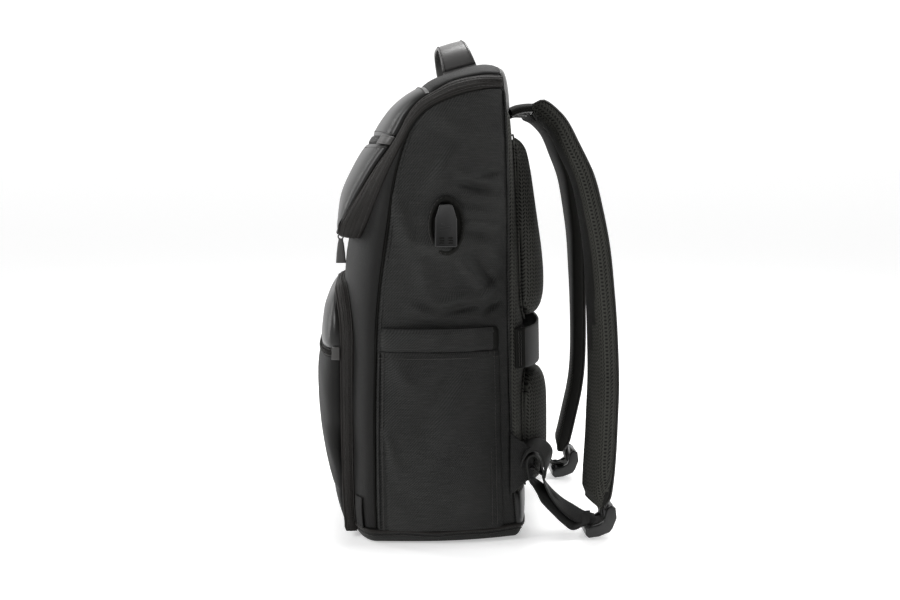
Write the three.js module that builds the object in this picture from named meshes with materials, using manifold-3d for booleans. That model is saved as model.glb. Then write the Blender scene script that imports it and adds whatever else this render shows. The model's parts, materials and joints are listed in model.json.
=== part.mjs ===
// A laptop backpack with an overhanging zipped lid, a front pocket, two open side pockets, a charging port,
// a padded back and two shoulder straps. Millimetres, +Z up. The origin is the centre of the flat underside,
// +X is the wearer's right side, -Y the front with the lid and pocket, +Y the padded back.
import * as THREE from 'three';
import { mergeVertices } from 'three/addons/utils/BufferGeometryUtils.js';
import Module from 'manifold-3d';

const wasm = await Module();
wasm.setup();

// Overall sizes, which the tables of sections follow.
const bodyHeight = 460;
const bodyHalfWidth = 146;
const bodyDepth = 180;

// Cloth and seams.
const clothWall = 1.8;
const lidWall = 2.4;
const gussetWall = 1.5;
const seamGap = 0.5;
const cornerRoundness = 2.4;

// Base.
const baseSeamHeight = 12;
const baseEdgeRadius = 9;
const baseWall = 3;

// Lid zip and its end tabs.
const zipTabWall = 1.2;
const lidTabSpan = 0.24;
const lidTabStart = 0.01;
const lidTabEnd = 0.17;
const pocketTabHeight = 13;
const pocketTabStart = 0.02;
const pocketTabEnd = 0.22;
const pullLength = 29;
const pullWidth = 10.5;
const pullThickness = 2.6;
const pullHole = 2.6;
const pullOffset = 16;
const sliderLength = 11;
const sliderWidth = 8;
const sliderHeight = 4.5;
const sliderBevel = 0.8;
const pullGap = 0.3;
const pullSetBack = 2;
const pullBevel = 0.5;

// Front pocket.
const pocketHalfWidth = 113;
const pocketBottom = 5;
const pocketBelowPull = 19.6;
const pocketCorner = 46;
const pocketRimReach = 2.5;
const pocketCrown = 24;
const pocketSeamRise = 5;
const pocketWall = 1.6;
const pocketRoundness = 3;
const pocketZipHeight = 181;
const pocketZipWidth = 7;
const pocketBaseHeight = 45;
const loopBottom = 14;
const loopHeight = 30;
const loopStart = 0.2;
const loopEnd = 0.42;

// Side pockets.
const sidePocketTop = 209;
const sidePocketHem = 22;
const hemWall = 2.6;
const sidePocketBack = 52;
const sidePocketInset = 3;
const sidePocketLift = 2.2;
const sidePocketMouth = 7;
const sidePocketTaper = 5;

// Charging port on the right side.
const portHeight = 306;
const portPlateLength = 56;
const portPlateWidth = 34;
const portPlateWall = 1;
const portLength = 40;
const portBottomWidth = 22;
const portDepth = 4;
const portSlotWidth = 4;
const portSlotHeight = 2.2;
const portSlotDepth = 1.6;
const portBevel = 0.8;
const portSlotSpread = 0.9;
const portSlotStart = -0.8;

// Handle.
const handleHalfSpan = 58;
const handleRise = 29.5;
const handleWidth = 34;
const handleWall = 3.4;
const handleFootDepth = 20;
const handleLean = 9;
const handleTopNarrowing = 0.78;
const handleSquareness = 0.6;
const handleClearance = 0.7;

// Back pads and the strap over them.
const padFromEdge = 14;
const padThickness = 23;
const padTopThickness = 15;
const padChannel = 0.55;
const padChannelWidth = 12;
const padEdge = 5;
const padCorner = 26;
const padTaperFrom = 240;
const upperPadBottom = 211;
const padBelowAnchor = 22.5;
const lowerPadBottom = 44;
const lowerPadTop = 162;
const luggageStrapHeight = 39;
const luggageStrapWall = 2;
const luggageStrapReach = 19;
const luggageStrapEnd = 0.1;

// Shoulder straps and their hardware.
const strapWidth = 64;
const strapThickness = 16;
const strapNeckWidth = 27;
const strapEndRun = 0.8;
const strapEndSwell = 0.45;
const leftStrapSwing = 12;
const swingIn = 5;
const swingOut = 3.5;
const strapTilt = 0.13;
const tiltFrom = 5;
const tiltTo = 12;
const anchorWidth = 60;
const anchorEnd = 1.9;
const anchorThickness = 6;
const strapGap = 0.12;
const webbingWidth = 26;
const webbingWall = 1.6;
const lockWidth = 38;
const lockLength = 30;
const lockThickness = 7;
const lockBar = 5;
const lockClearance = 0.6;
const lockCorner = 4;
const lockBevel = 1;
const lockTilt = 0.72;
const tailRun = 12.5;
const tailDrop = 6.5;
const tailOverhang = 4.5;
const tailStart = 3;
const tailWall = 2.4;
const tabHeight = 62;
const tabMiddle = 74;
const tabReach = 19;
const tabIn = 5;
const tabWall = 2.4;

// Heights are shares of the body height. Across the body, x is a share of the half width and y one of the depth.
// seam is the side panel's front edge, front the middle of the front, back the side panel's rear edge and spine
// the middle of the back.
const wallRows = [
  { at: 0.026, seamX: 0.966, seam: -0.368, front: -0.520, back: 0.390, spine: 0.458 },
  { at: 0.082, seamX: 0.976, seam: -0.371, front: -0.530, back: 0.378, spine: 0.466 },
  { at: 0.220, seamX: 0.980, seam: -0.373, front: -0.536, back: 0.357, spine: 0.470 },
  { at: 0.450, seamX: 0.980, seam: -0.360, front: -0.536, back: 0.340, spine: 0.460 },
  { at: 0.530, seamX: 0.979, seam: -0.343, front: -0.533, back: 0.337, spine: 0.450 },
  { at: 0.600, seamX: 0.975, seam: -0.320, front: -0.518, back: 0.336, spine: 0.440 },
  { at: 0.674, seamX: 0.973, seam: -0.293, front: -0.478, back: 0.335, spine: 0.422 },
  { at: 0.751, seamX: 0.967, seam: -0.266, front: -0.425, back: 0.333, spine: 0.405 },
  { at: 0.812, seamX: 0.962, seam: -0.229, front: -0.360, back: 0.328, spine: 0.390 },
  { at: 0.861, seamX: 0.960, seam: -0.179, front: -0.290, back: 0.323, spine: 0.379 },
  { at: 0.890, seamX: 0.960, seam: -0.122, front: -0.220, back: 0.320, spine: 0.372 },
  { at: 0.905, seamX: 0.960, seam: -0.073, front: -0.180, back: 0.317, spine: 0.366 },
  { at: 0.918, seamX: 0.960, seam: -0.006, front: -0.120, back: 0.314, spine: 0.361 },
  { at: 0.931, seamX: 0.958, seam: 0.085, front: -0.030, back: 0.311, spine: 0.353 },
  { at: 0.940, seamX: 0.948, seam: 0.190, front: 0.080, back: 0.308, spine: 0.345 },
  { at: 0.944, seamX: 0.900, seam: 0.298, front: 0.190, back: 0.306, spine: 0.340 },
];

// From the top of the back over the lid to its front lip: the lid's edge, the middle of the lid, and the height
// and the wrap round the corner at which the body's mouth lies below that edge.
const lidRows = [
  { at: 0, edgeX: 0.890, edgeY: 0.304, edgeZ: 0.968, midY: 0.298, midZ: 1.000, mouthZ: 0.944, wrap: 0 },
  { at: 1, edgeX: 0.904, edgeY: 0.194, edgeZ: 0.968, midY: 0.200, midZ: 0.998, mouthZ: 0.940, wrap: 0 },
  { at: 2, edgeX: 0.904, edgeY: 0.050, edgeZ: 0.957, midY: 0.040, midZ: 0.980, mouthZ: 0.931, wrap: 0 },
  { at: 3, edgeX: 0.904, edgeY: -0.045, edgeZ: 0.938, midY: -0.066, midZ: 0.964, mouthZ: 0.918, wrap: 0 },
  { at: 4, edgeX: 0.904, edgeY: -0.130, edgeZ: 0.917, midY: -0.172, midZ: 0.938, mouthZ: 0.902, wrap: 0 },
  { at: 5, edgeX: 0.899, edgeY: -0.191, edgeZ: 0.888, midY: -0.264, midZ: 0.907, mouthZ: 0.880, wrap: 0 },
  { at: 6, edgeX: 0.890, edgeY: -0.229, edgeZ: 0.858, midY: -0.330, midZ: 0.874, mouthZ: 0.851, wrap: 0.01 },
  { at: 7, edgeX: 0.878, edgeY: -0.275, edgeZ: 0.828, midY: -0.405, midZ: 0.829, mouthZ: 0.822, wrap: 0.04 },
  { at: 8, edgeX: 0.858, edgeY: -0.355, edgeZ: 0.785, midY: -0.484, midZ: 0.772, mouthZ: 0.778, wrap: 0.12 },
  { at: 9, edgeX: 0.838, edgeY: -0.450, edgeZ: 0.726, midY: -0.541, midZ: 0.722, mouthZ: 0.722, wrap: 0.23 },
  { at: 10, edgeX: 0.817, edgeY: -0.541, edgeZ: 0.668, midY: -0.565, midZ: 0.668, mouthZ: 0.668, wrap: 0.34 },
  { at: 11, edgeX: 0.803, edgeY: -0.560, edgeZ: 0.646, midY: -0.573, midZ: 0.646, mouthZ: 0.640, wrap: 0.43 },
];
const lidEnd = 11;
const foldAt = 3.35;
const lidZipAt = 6.75;

// The yoke between the lid and the back: the edge and the middle of each section.
const yokeRows = [
  { at: 0, edgeY: 0.304, edgeZ: 0.968, midY: 0.298, midZ: 1.000 },
  { at: 0.2, edgeY: 0.308, edgeZ: 0.957, midY: 0.325, midZ: 0.988 },
  { at: 0.45, edgeY: 0.309, edgeZ: 0.940, midY: 0.347, midZ: 0.960 },
  { at: 1, edgeY: 0.3192, edgeZ: 0.897, midY: 0.3695, midZ: 0.897 },
];

// The front pocket's swell: the height is a share of the pocket's height, out a share of its crown.
const pocketRows = [
  { at: 0, out: -0.02 },
  { at: 0.03, out: 0.06 },
  { at: 0.085, out: 0.26 },
  { at: 0.18, out: 0.49 },
  { at: 0.33, out: 0.78 },
  { at: 0.466, out: 0.94 },
  { at: 0.6, out: 1 },
  { at: 0.746, out: 0.94 },
  { at: 0.89, out: 0.75 },
  { at: 0.932, out: 0.64 },
  { at: 0.975, out: 0.44 },
  { at: 1, out: 0.26 },
];

// A shoulder strap's middle line, from its anchor to its lower end, in shares of the body's three sizes.
const strapRows = [
  { at: 0, x: 0.40, y: 0.375, z: 0.899 },
  { at: 1, x: 0.40, y: 0.432, z: 0.907 },
  { at: 2, x: 0.40, y: 0.506, z: 0.908 },
  { at: 3, x: 0.42, y: 0.571, z: 0.895 },
  { at: 4, x: 0.49, y: 0.639, z: 0.863 },
  { at: 5, x: 0.575, y: 0.697, z: 0.816 },
  { at: 6, x: 0.64, y: 0.759, z: 0.756 },
  { at: 7, x: 0.69, y: 0.796, z: 0.688 },
  { at: 8, x: 0.73, y: 0.825, z: 0.612 },
  { at: 9, x: 0.76, y: 0.841, z: 0.529 },
  { at: 10, x: 0.78, y: 0.853, z: 0.445 },
  { at: 11, x: 0.80, y: 0.860, z: 0.340 },
  { at: 12, x: 0.81, y: 0.854, z: 0.255 },
  { at: 13, x: 0.82, y: 0.846, z: 0.186 },
  { at: 14, x: 0.83, y: 0.832, z: 0.110 },
  { at: 15, x: 0.83, y: 0.822, z: 0.072 },
];
const strapEnd = 15;
const neckAt = 13.2;

// The webbing from the lower tab's tip to the lock: go and drop are shares of the way back and down, twist the
// share of a quarter turn by which its width still stands upright.
const webbingRows = [
  { at: 0, go: 0, drop: 0, twist: 1 },
  { at: 1, go: 0.14, drop: 0, twist: 0.98 },
  { at: 2, go: 0.26, drop: 0.20, twist: 0.85 },
  { at: 3, go: 0.44, drop: 0.58, twist: 0.55 },
  { at: 4, go: 0.72, drop: 0.83, twist: 0.25 },
  { at: 5, go: 1, drop: 1, twist: 0 },
];

// Half the charging port's outline, up from its foot: across is a share of the foot's half width, up a share of
// the half length.
const portRows = [
  { across: 0.92, up: -1 },
  { across: 1, up: -0.92 },
  { across: 0.8, up: 0.48 },
  { across: 0.55, up: 0.96 },
  { across: 0.44, up: 1 },
];

// The zip pull's half outline down from its ring: across is a share of the pull's half width, down one of its
// length.
const pullRows = [
  { across: 0.32, down: 0 },
  { across: 0.52, down: 0.034 },
  { across: 0.52, down: 0.18 },
  { across: 1, down: 0.27 },
  { across: 1, down: 0.966 },
  { across: 0.81, down: 1 },
];

// What hangs or is sewn between two others follows them: the pocket ends below the zip pull, the pads below the
// straps' anchors and inside the body's back edges.
const backEdgeX = 0.89 * bodyHalfWidth;
const padHalfWidth = backEdgeX - padFromEdge;
const upperPadTop = strapRows[0].z * bodyHeight - padBelowAnchor;
const lipHeight = Math.min(lidRows[lidRows.length - 1].mouthZ, lidRows[lidRows.length - 1].edgeZ) * bodyHeight;
const pocketTop = lipHeight - sliderHeight - pullGap - pullLength - pocketBelowPull;

// Colours and finishes.
const finishes = {
  cloth: { color: 0x2b2b2c, roughness: 0.85 },
  satin: { color: 0x333235, roughness: 0.55 },
  dark: { color: 0x1c1b1b, roughness: 0.8 },
  coated: { color: 0x3f3d3e, roughness: 0.5 },
  mesh: { color: 0x1f1f20, roughness: 0.95 },
  webbing: { color: 0x232323, roughness: 0.8 },
  plastic: { color: 0x29292b, roughness: 0.45 },
  grey: { color: 0x6e6b69, roughness: 0.6 },
};

// A smooth value from a table, through its rows in order of `at`.
function follow(rows, column, at) {
  const last = rows.length - 1;
  const place = THREE.MathUtils.clamp(at, rows[0].at, rows[last].at);
  let i = 0;
  while (i < last - 1 && place > rows[i + 1].at) i += 1;
  const slope = (k) => {
    const before = rows[Math.max(k - 1, 0)];
    const after = rows[Math.min(k + 1, last)];
    return (after[column] - before[column]) / (after.at - before.at);
  };
  const a = rows[i];
  const b = rows[i + 1];
  const span = b.at - a.at;
  const u = (place - a.at) / span;
  const hold = (1 + 2 * u) * (1 - u) * (1 - u) * a[column] + u * u * (3 - 2 * u) * b[column];
  return hold + span * u * (1 - u) * ((1 - u) * slope(i) - u * slope(i + 1));
}

const lerp = THREE.MathUtils.lerp;
const smooth = (u) => THREE.MathUtils.smoothstep(u, 0, 1);

// The two shares of a rounded corner at an angle from 0, the side, through a quarter turn, the middle.
function corner(angle, roundness = cornerRoundness) {
  const across = Math.cos(angle);
  const along = Math.sin(angle);
  return {
    x: Math.sign(across) * Math.abs(across) ** (2 / roundness),
    out: Math.abs(along) ** (2 / roundness),
  };
}

// Closed solid from a grid of outer points and one of inner points, [row][column].
function solidFromGrids(outer, inner, closed = false) {
  const rows = outer.length - 1;
  const columns = outer[0].length - 1;
  const positions = [...outer.flat(), ...inner.flat()].flatMap((p) => [p.x, p.y, p.z]);
  const width = columns + 1;
  const innerStart = (rows + 1) * width;
  const faces = [];
  const quad = (a, b, c, d) => faces.push(a, b, c, a, c, d);
  for (let r = 0; r < rows; r += 1) {
    for (let c = 0; c < columns; c += 1) {
      const a = r * width + c;
      const d = a + width;
      quad(a, a + 1, d + 1, d);
      quad(innerStart + a, innerStart + d, innerStart + d + 1, innerStart + a + 1);
    }
  }
  for (let c = 0; c < columns; c += 1) {
    const top = rows * width + c;
    quad(innerStart + c, innerStart + c + 1, c + 1, c);
    quad(top, top + 1, innerStart + top + 1, innerStart + top);
  }
  for (let r = 0; r < rows && !closed; r += 1) {
    const a = r * width;
    const b = a + columns;
    quad(a, a + width, innerStart + a + width, innerStart + a);
    quad(innerStart + b, innerStart + b + width, b + width, b);
  }
  return weld(positions, faces);
}

// One mesh with shared corners, no empty triangles and its faces pointing out.
function weld(positions, faces) {
  const loose = new THREE.BufferGeometry();
  loose.setAttribute('position', new THREE.Float32BufferAttribute(positions, 3));
  loose.setIndex(faces);
  const geometry = mergeVertices(loose, 1e-3);
  const index = geometry.getIndex().array;
  const kept = [];
  let volume = 0;
  const p = geometry.getAttribute('position');
  const at = (k) => new THREE.Vector3().fromBufferAttribute(p, k);
  for (let k = 0; k < index.length; k += 3) {
    const [a, b, c] = [index[k], index[k + 1], index[k + 2]];
    if (a === b || b === c || c === a) continue;
    kept.push(a, b, c);
    volume += at(a).dot(at(b).cross(at(c)));
  }
  if (volume < 0) {
    for (let k = 0; k < kept.length; k += 3) [kept[k], kept[k + 1]] = [kept[k + 1], kept[k]];
  }
  geometry.setIndex(kept);
  return geometry;
}

// A cloth panel: `surface(s, t)` gives its outer face, and `wall` its thickness, inwards from the side that
// `inside`, a point within the bag, lies on. Each edge is drawn back by its own inset.
function clothPanel({ surface, columns, rows, wall, inside, insets = {}, closed = false, spread }) {
  const step = 1e-4;
  const rowAt = spread ?? ((u) => u);
  const outer = [];
  const normals = [];
  for (let r = 0; r <= rows; r += 1) {
    const t = rowAt(r / rows);
    outer.push([]);
    normals.push([]);
    for (let c = 0; c <= columns; c += 1) {
      const s = c / columns;
      outer[r].push(surface(s, t));
      const nearS = Math.min(Math.max(s, 2 * step), 1 - 2 * step);
      const nearT = Math.min(Math.max(t, 2 * step), 1 - 2 * step);
      const alongS = surface(nearS + step, nearT).sub(surface(nearS - step, nearT));
      const alongT = surface(nearS, nearT + step).sub(surface(nearS, nearT - step));
      const normal = alongS.cross(alongT).normalize();
      const middle = inside instanceof THREE.Vector3 ? inside : inside(outer[r][c]);
      if (normal.dot(outer[r][c].clone().sub(middle)) < 0) normal.negate();
      normals[r].push(normal);
    }
    if (closed) {
      outer[r][columns].copy(outer[r][0]);
      normals[r][columns].copy(normals[r][0]);
    }
    const pole = outer[r].every((point) => point.distanceTo(outer[r][0]) < 1e-3);
    if (pole) normals[r].forEach((normal) => normal.copy(normals[r][0]));
  }
  const { left = seamGap / 2, right = seamGap / 2, bottom = seamGap / 2, top = seamGap / 2 } = insets;
  const drawIn = (edge, next, distance) => {
    const way = next.clone().sub(edge);
    if (way.length() > 1e-3) edge.addScaledVector(way.normalize(), distance);
  };
  const topInset = typeof top === 'number' ? () => top : top;
  for (let c = 0; c <= columns; c += 1) {
    drawIn(outer[0][c], outer[1][c], bottom);
    drawIn(outer[rows][c], outer[rows - 1][c], topInset(c / columns));
  }
  for (let r = 0; r <= rows && !closed; r += 1) {
    drawIn(outer[r][0], outer[r][1], left);
    drawIn(outer[r][columns], outer[r][columns - 1], right);
  }
  const depth = (s, t) => (typeof wall === 'number' ? wall : wall(s, t));
  const inner = outer.map((row, r) => row.map((point, c) => {
    return point.clone().addScaledVector(normals[r][c], -depth(c / columns, rowAt(r / rows)));
  }));
  return solidFromGrids(outer, inner, closed);
}

// A solid swept through rings of points, closed at both ends.
function ringLoft(rings) {
  const sides = rings[0].length;
  const positions = rings.flat().flatMap((p) => [p.x, p.y, p.z]);
  const faces = [];
  for (let r = 0; r < rings.length - 1; r += 1) {
    for (let k = 0; k < sides; k += 1) {
      const a = r * sides + k;
      const b = r * sides + ((k + 1) % sides);
      faces.push(a, b, b + sides, a, b + sides, a + sides);
    }
  }
  const end = (rings.length - 1) * sides;
  for (let k = 1; k < sides - 1; k += 1) {
    faces.push(0, k + 1, k);
    faces.push(end, end + k, end + k + 1);
  }
  return weld(positions, faces);
}

// A band along a path: `place(u)` gives its middle, its half width across and its half thickness up.
function band(place, steps, bevel = 0.35) {
  const rings = [];
  for (let k = 0; k <= steps; k += 1) {
    const { middle, across, up } = place(k / steps);
    const soft = Math.min(bevel, 0.45);
    const ring = [
      [1, 1 - 2 * soft], [1 - soft * up.length() / across.length(), 1],
      [-1 + soft * up.length() / across.length(), 1], [-1, 1 - 2 * soft],
      [-1, -1 + 2 * soft], [-1 + soft * up.length() / across.length(), -1],
      [1 - soft * up.length() / across.length(), -1], [1, -1 + 2 * soft],
    ];
    rings.push(ring.map(([a, b]) => middle.clone().addScaledVector(across, a).addScaledVector(up, b)));
  }
  return ringLoft(rings);
}

// Solids for cutting and joining.
function solidOf(geometry) {
  const bare = geometry.clone();
  bare.deleteAttribute('normal');
  bare.deleteAttribute('uv');
  const merged = mergeVertices(bare, 1e-4);
  return new wasm.Manifold(new wasm.Mesh({
    numProp: 3,
    vertProperties: new Float32Array(merged.getAttribute('position').array),
    triVerts: new Uint32Array(merged.getIndex().array),
  }));
}

function geometryOf(solid) {
  const mesh = solid.getMesh();
  const geometry = new THREE.BufferGeometry();
  geometry.setAttribute('position', new THREE.Float32BufferAttribute(mesh.vertProperties, 3));
  geometry.setIndex([...mesh.triVerts]);
  return geometry;
}

const backpack = new THREE.Group();

function add(name, geometry, finish) {
  const { color, roughness } = finishes[finish];
  const material = new THREE.MeshStandardMaterial({ color, roughness, metalness: 0 });
  material.name = finish;
  const mesh = new THREE.Mesh(geometry, material);
  mesh.name = name;
  backpack.add(mesh);
  return mesh;
}

// The same geometry on the left side.
function mirrored(geometry) {
  const copy = geometry.clone();
  copy.scale(-1, 1, 1);
  const index = copy.getIndex().array;
  for (let k = 0; k < index.length; k += 3) [index[k], index[k + 1]] = [index[k + 1], index[k]];
  return copy;
}

function addPair(name, geometry, finish) {
  add(`${name}_right`, geometry, finish);
  add(`${name}_left`, mirrored(geometry), finish);
}

// Body surfaces.
const bodyCentre = new THREE.Vector3(0, 0, bodyHeight / 2);
const insideBody = (point) => new THREE.Vector3(0, 0, Math.min(point.z, bodyHeight * 0.8));
const wallAt = (column, z) => follow(wallRows, column, z / bodyHeight);
const sideCrown = 0.032 * bodyHalfWidth;
const fullSideDepth = 0.72 * bodyDepth;

// The side at a share of its depth, from the front seam to the rear one.
function sidePoint(share, z) {
  const front = wallAt('seam', z) * bodyDepth;
  const back = wallAt('back', z) * bodyDepth;
  const seamX = wallAt('seamX', z) * bodyHalfWidth;
  const crown = sideCrown * Math.min(1, (back - front) / fullSideDepth);
  const x = lerp(seamX, backEdgeX, share ** 3) + crown * Math.sin(Math.PI * share);
  return new THREE.Vector3(x, lerp(front, back, share), z);
}

function sideAt(y, z) {
  const front = wallAt('seam', z) * bodyDepth;
  const back = wallAt('back', z) * bodyDepth;
  return sidePoint(THREE.MathUtils.clamp((y - front) / (back - front), 0, 1), z);
}

// The front and the back at an angle round from the right seam, 0, to the left one, a half turn.
function frontPoint(angle, z) {
  const { x, out } = corner(angle);
  const seam = wallAt('seam', z) * bodyDepth;
  const seamX = wallAt('seamX', z) * bodyHalfWidth;
  return new THREE.Vector3(seamX * x, lerp(seam, wallAt('front', z) * bodyDepth, out), z);
}

function backPoint(angle, z, reach = 0) {
  const { x, out } = corner(angle);
  const edge = wallAt('back', z) * bodyDepth;
  const spine = wallAt('spine', z) * bodyDepth + reach;
  return new THREE.Vector3(backEdgeX * x, lerp(edge, spine, out), z);
}

// The front's depth at a place across.
function frontDepthAt(x, z) {
  const share = Math.min(Math.abs(x) / (wallAt('seamX', z) * bodyHalfWidth), 1);
  const out = (1 - share ** cornerRoundness) ** (1 / cornerRoundness);
  return lerp(wallAt('seam', z), wallAt('front', z), out) * bodyDepth;
}

function backDepthAt(x, z, reach = 0) {
  const share = Math.min(Math.abs(x) / backEdgeX, 1);
  const out = (1 - share ** cornerRoundness) ** (1 / cornerRoundness);
  return lerp(wallAt('back', z) * bodyDepth, wallAt('spine', z) * bodyDepth + reach, out);
}

// Lid and mouth.
function lidPoint(at, angle) {
  const { x, out } = corner(angle);
  const cut = (column) => follow(lidRows, column, at);
  return new THREE.Vector3(
    cut('edgeX') * bodyHalfWidth * x,
    lerp(cut('edgeY'), cut('midY'), out) * bodyDepth,
    lerp(cut('edgeZ'), cut('midZ'), out) * bodyHeight,
  );
}

const mouthAngle = (at) => Math.max(follow(lidRows, 'wrap', at), 0) * Math.PI / 2;
const mouthHeight = (at) => follow(lidRows, 'mouthZ', at) * bodyHeight;
const mouthPoint = (at) => frontPoint(mouthAngle(at), mouthHeight(at));

const earStart = 6.5;
const sharpFrom = 6.5;
const sharpTo = 9.5;
const acrossShare = 0.42;

// Round the mouth from the right ear, 0, over the middle to the left ear, 1.
function roundMouth(share, run) {
  const half = 1 - Math.abs(1 - 2 * share);
  const lip = 1 - acrossShare;
  const point = half < lip ? run(half / lip, 0) : run(1, (half - lip) / acrossShare);
  if (share > 0.5) point.x *= -1;
  return point;
}

function frontPanelSurface(s, t) {
  return roundMouth(s, (down, across) => {
    const at = lerp(earStart, lidEnd, down);
    const angle = lerp(mouthAngle(at), Math.PI / 2, across);
    const height = mouthHeight(at);
    return frontPoint(angle, lerp(baseSeamHeight, height, t));
  });
}

function gussetSurface(s, t) {
  return roundMouth(s, (down, across) => {
    const at = lidEnd * down;
    const upper = lidPoint(at, across * Math.PI / 2);
    const lower = frontPoint(lerp(mouthAngle(at), Math.PI / 2, across), mouthHeight(at));
    return lower.lerp(upper, t);
  });
}

// Where the gusset turns sharply under the lid's edge it stops inside the lid's wall.
function gussetInset(share) {
  const down = Math.min((1 - Math.abs(1 - 2 * share)) / (1 - acrossShare), 1) * lidEnd;
  return lerp(seamGap / 2, 1.8 * lidWall, THREE.MathUtils.smoothstep(down, sharpFrom, sharpTo));
}

function sidePanelSurface(s, t) {
  const top = wallRows[wallRows.length - 1].at * bodyHeight;
  return sidePoint(s, lerp(baseSeamHeight, top, t));
}

const towardsTop = (u) => 1 - (1 - u) ** 2.1;

addPair('side_panel', clothPanel({
  surface: sidePanelSurface, columns: 8, rows: 14, wall: clothWall, inside: bodyCentre, spread: towardsTop,
  insets: { top: seamGap * 2 },
}), 'cloth');
add('front_panel', clothPanel({
  surface: frontPanelSurface, columns: 28, rows: 8, wall: clothWall, inside: insideBody,
  insets: { top: 3.2 * seamGap },
}), 'satin');
add('lid_gusset', clothPanel({
  surface: gussetSurface, columns: 40, rows: 1, wall: gussetWall, inside: insideBody,
  insets: { top: gussetInset, bottom: 2.6 * seamGap },
}), 'dark');

const backPanelTop = yokeRows[yokeRows.length - 1].midZ * bodyHeight;
add('back_panel', clothPanel({
  surface: (s, t) => backPoint(s * Math.PI, lerp(baseSeamHeight, backPanelTop, t)),
  columns: 12, rows: 5, wall: clothWall, inside: bodyCentre,
}), 'dark');
add('back_yoke', clothPanel({
  surface: (s, t) => {
    const { x, out } = corner(s * Math.PI);
    const cut = (column) => follow(yokeRows, column, 1 - t);
    const depth = lerp(cut('edgeY'), cut('midY'), out) * bodyDepth;
    return new THREE.Vector3(backEdgeX * x, depth, lerp(cut('edgeZ'), cut('midZ'), out) * bodyHeight);
  },
  columns: 12, rows: 4, wall: clothWall, inside: bodyCentre, insets: { top: lidWall + seamGap },
}), 'coated');

// Base: the outline of the body's foot, rolled under to a flat.
function footPoint(share) {
  const turn = ((share % 1) + 1) % 1;
  const quarter = Math.floor(turn * 4);
  const along = turn * 4 - quarter;
  if (quarter === 0) return frontPoint(along * Math.PI, baseSeamHeight);
  if (quarter === 2) return backPoint(Math.PI * (1 - along), baseSeamHeight);
  const side = sidePoint(quarter === 1 ? along : 1 - along, baseSeamHeight);
  if (quarter === 1) side.x *= -1;
  return side;
}

function baseSurface(s, t) {
  const foot = footPoint(s);
  const roll = Math.min(t / 0.5, 1) * Math.PI / 2;
  const draw = baseEdgeRadius * (1 - Math.cos(roll));
  const shrink = 1 - draw / Math.hypot(foot.x, foot.y);
  const flat = Math.max(t - 0.5, 0) / 0.5;
  const height = baseSeamHeight * (1 - Math.sin(roll));
  return new THREE.Vector3(foot.x * shrink * (1 - flat), foot.y * shrink * (1 - flat), height);
}

add('base_panel', clothPanel({
  surface: baseSurface, columns: 36, rows: 5, wall: baseWall, closed: true,
  inside: (point) => new THREE.Vector3(0, 0, baseSeamHeight * 3),
  insets: { bottom: seamGap, top: 0 },
}), 'cloth');

// Lid panels, split at the fold and at the zip.
const lidHalfZip = 0.13;
const lidPanels = [
  { name: 'lid_top_panel', from: 0, to: foldAt, rows: 4, finish: 'coated' },
  { name: 'lid_front_upper_panel', from: foldAt, to: lidZipAt - lidHalfZip, rows: 4, finish: 'satin' },
  { name: 'lid_zip', from: lidZipAt - lidHalfZip, to: lidZipAt + lidHalfZip, rows: 1, finish: 'dark' },
  { name: 'lid_front_lower_panel', from: lidZipAt + lidHalfZip, to: lidEnd, rows: 6, finish: 'satin' },
];
for (const { name, from, to, rows, finish } of lidPanels) {
  add(name, clothPanel({
    surface: (s, t) => lidPoint(lerp(from, to, t), s * Math.PI), columns: 16, rows, wall: lidWall,
    inside: insideBody, insets: { top: seamGap },
  }), finish);
}

// A small patch that lies on a surface: the surface raised by a distance, out from a point inside.
function lifted(surface, distance, inside) {
  return (s, t) => {
    const step = 1e-3;
    const alongS = surface(s + step, t).sub(surface(s - step, t));
    const alongT = surface(s, t + step).sub(surface(s, t - step));
    const normal = alongS.cross(alongT).normalize();
    const point = surface(s, t);
    const middle = inside instanceof THREE.Vector3 ? inside : inside(point);
    if (normal.dot(point.clone().sub(middle)) < 0) normal.negate();
    return point.addScaledVector(normal, distance);
  };
}

const patchLift = zipTabWall + seamGap;
addPair('lid_zip_tab', clothPanel({
  surface: lifted((s, t) => {
    return lidPoint(lidZipAt + lerp(-lidTabSpan, lidTabSpan, t), lerp(lidTabStart, lidTabEnd, s));
  }, patchLift, insideBody),
  columns: 3, rows: 1, wall: zipTabWall, inside: insideBody,
}), 'grey');

// Front pocket.
const pocketHeight = pocketTop - pocketBottom;
const pocketTopOut = pocketRows[pocketRows.length - 1].out;
const pocketBack = (z) => wallAt('front', z) * bodyDepth - pocketRimReach;

function pocketRimDepth(z) {
  const into = THREE.MathUtils.clamp((z - pocketTop + pocketCorner) / pocketCorner, 0, 1);
  return pocketBack(z) - pocketCrown * pocketTopOut * into ** 2;
}

function pocketHalfWidthAt(z) {
  const into = Math.max(z - pocketTop + pocketCorner, 0);
  return pocketHalfWidth - pocketCorner + Math.sqrt(Math.max(pocketCorner ** 2 - into ** 2, 0));
}

function pocketPoint(angle, z) {
  const { x, out } = corner(angle, pocketRoundness);
  const crest = pocketBack(z) - pocketCrown * follow(pocketRows, 'out', (z - pocketBottom) / pocketHeight);
  return new THREE.Vector3(pocketHalfWidthAt(z) * x, lerp(pocketRimDepth(z), crest, out), z);
}

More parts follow.
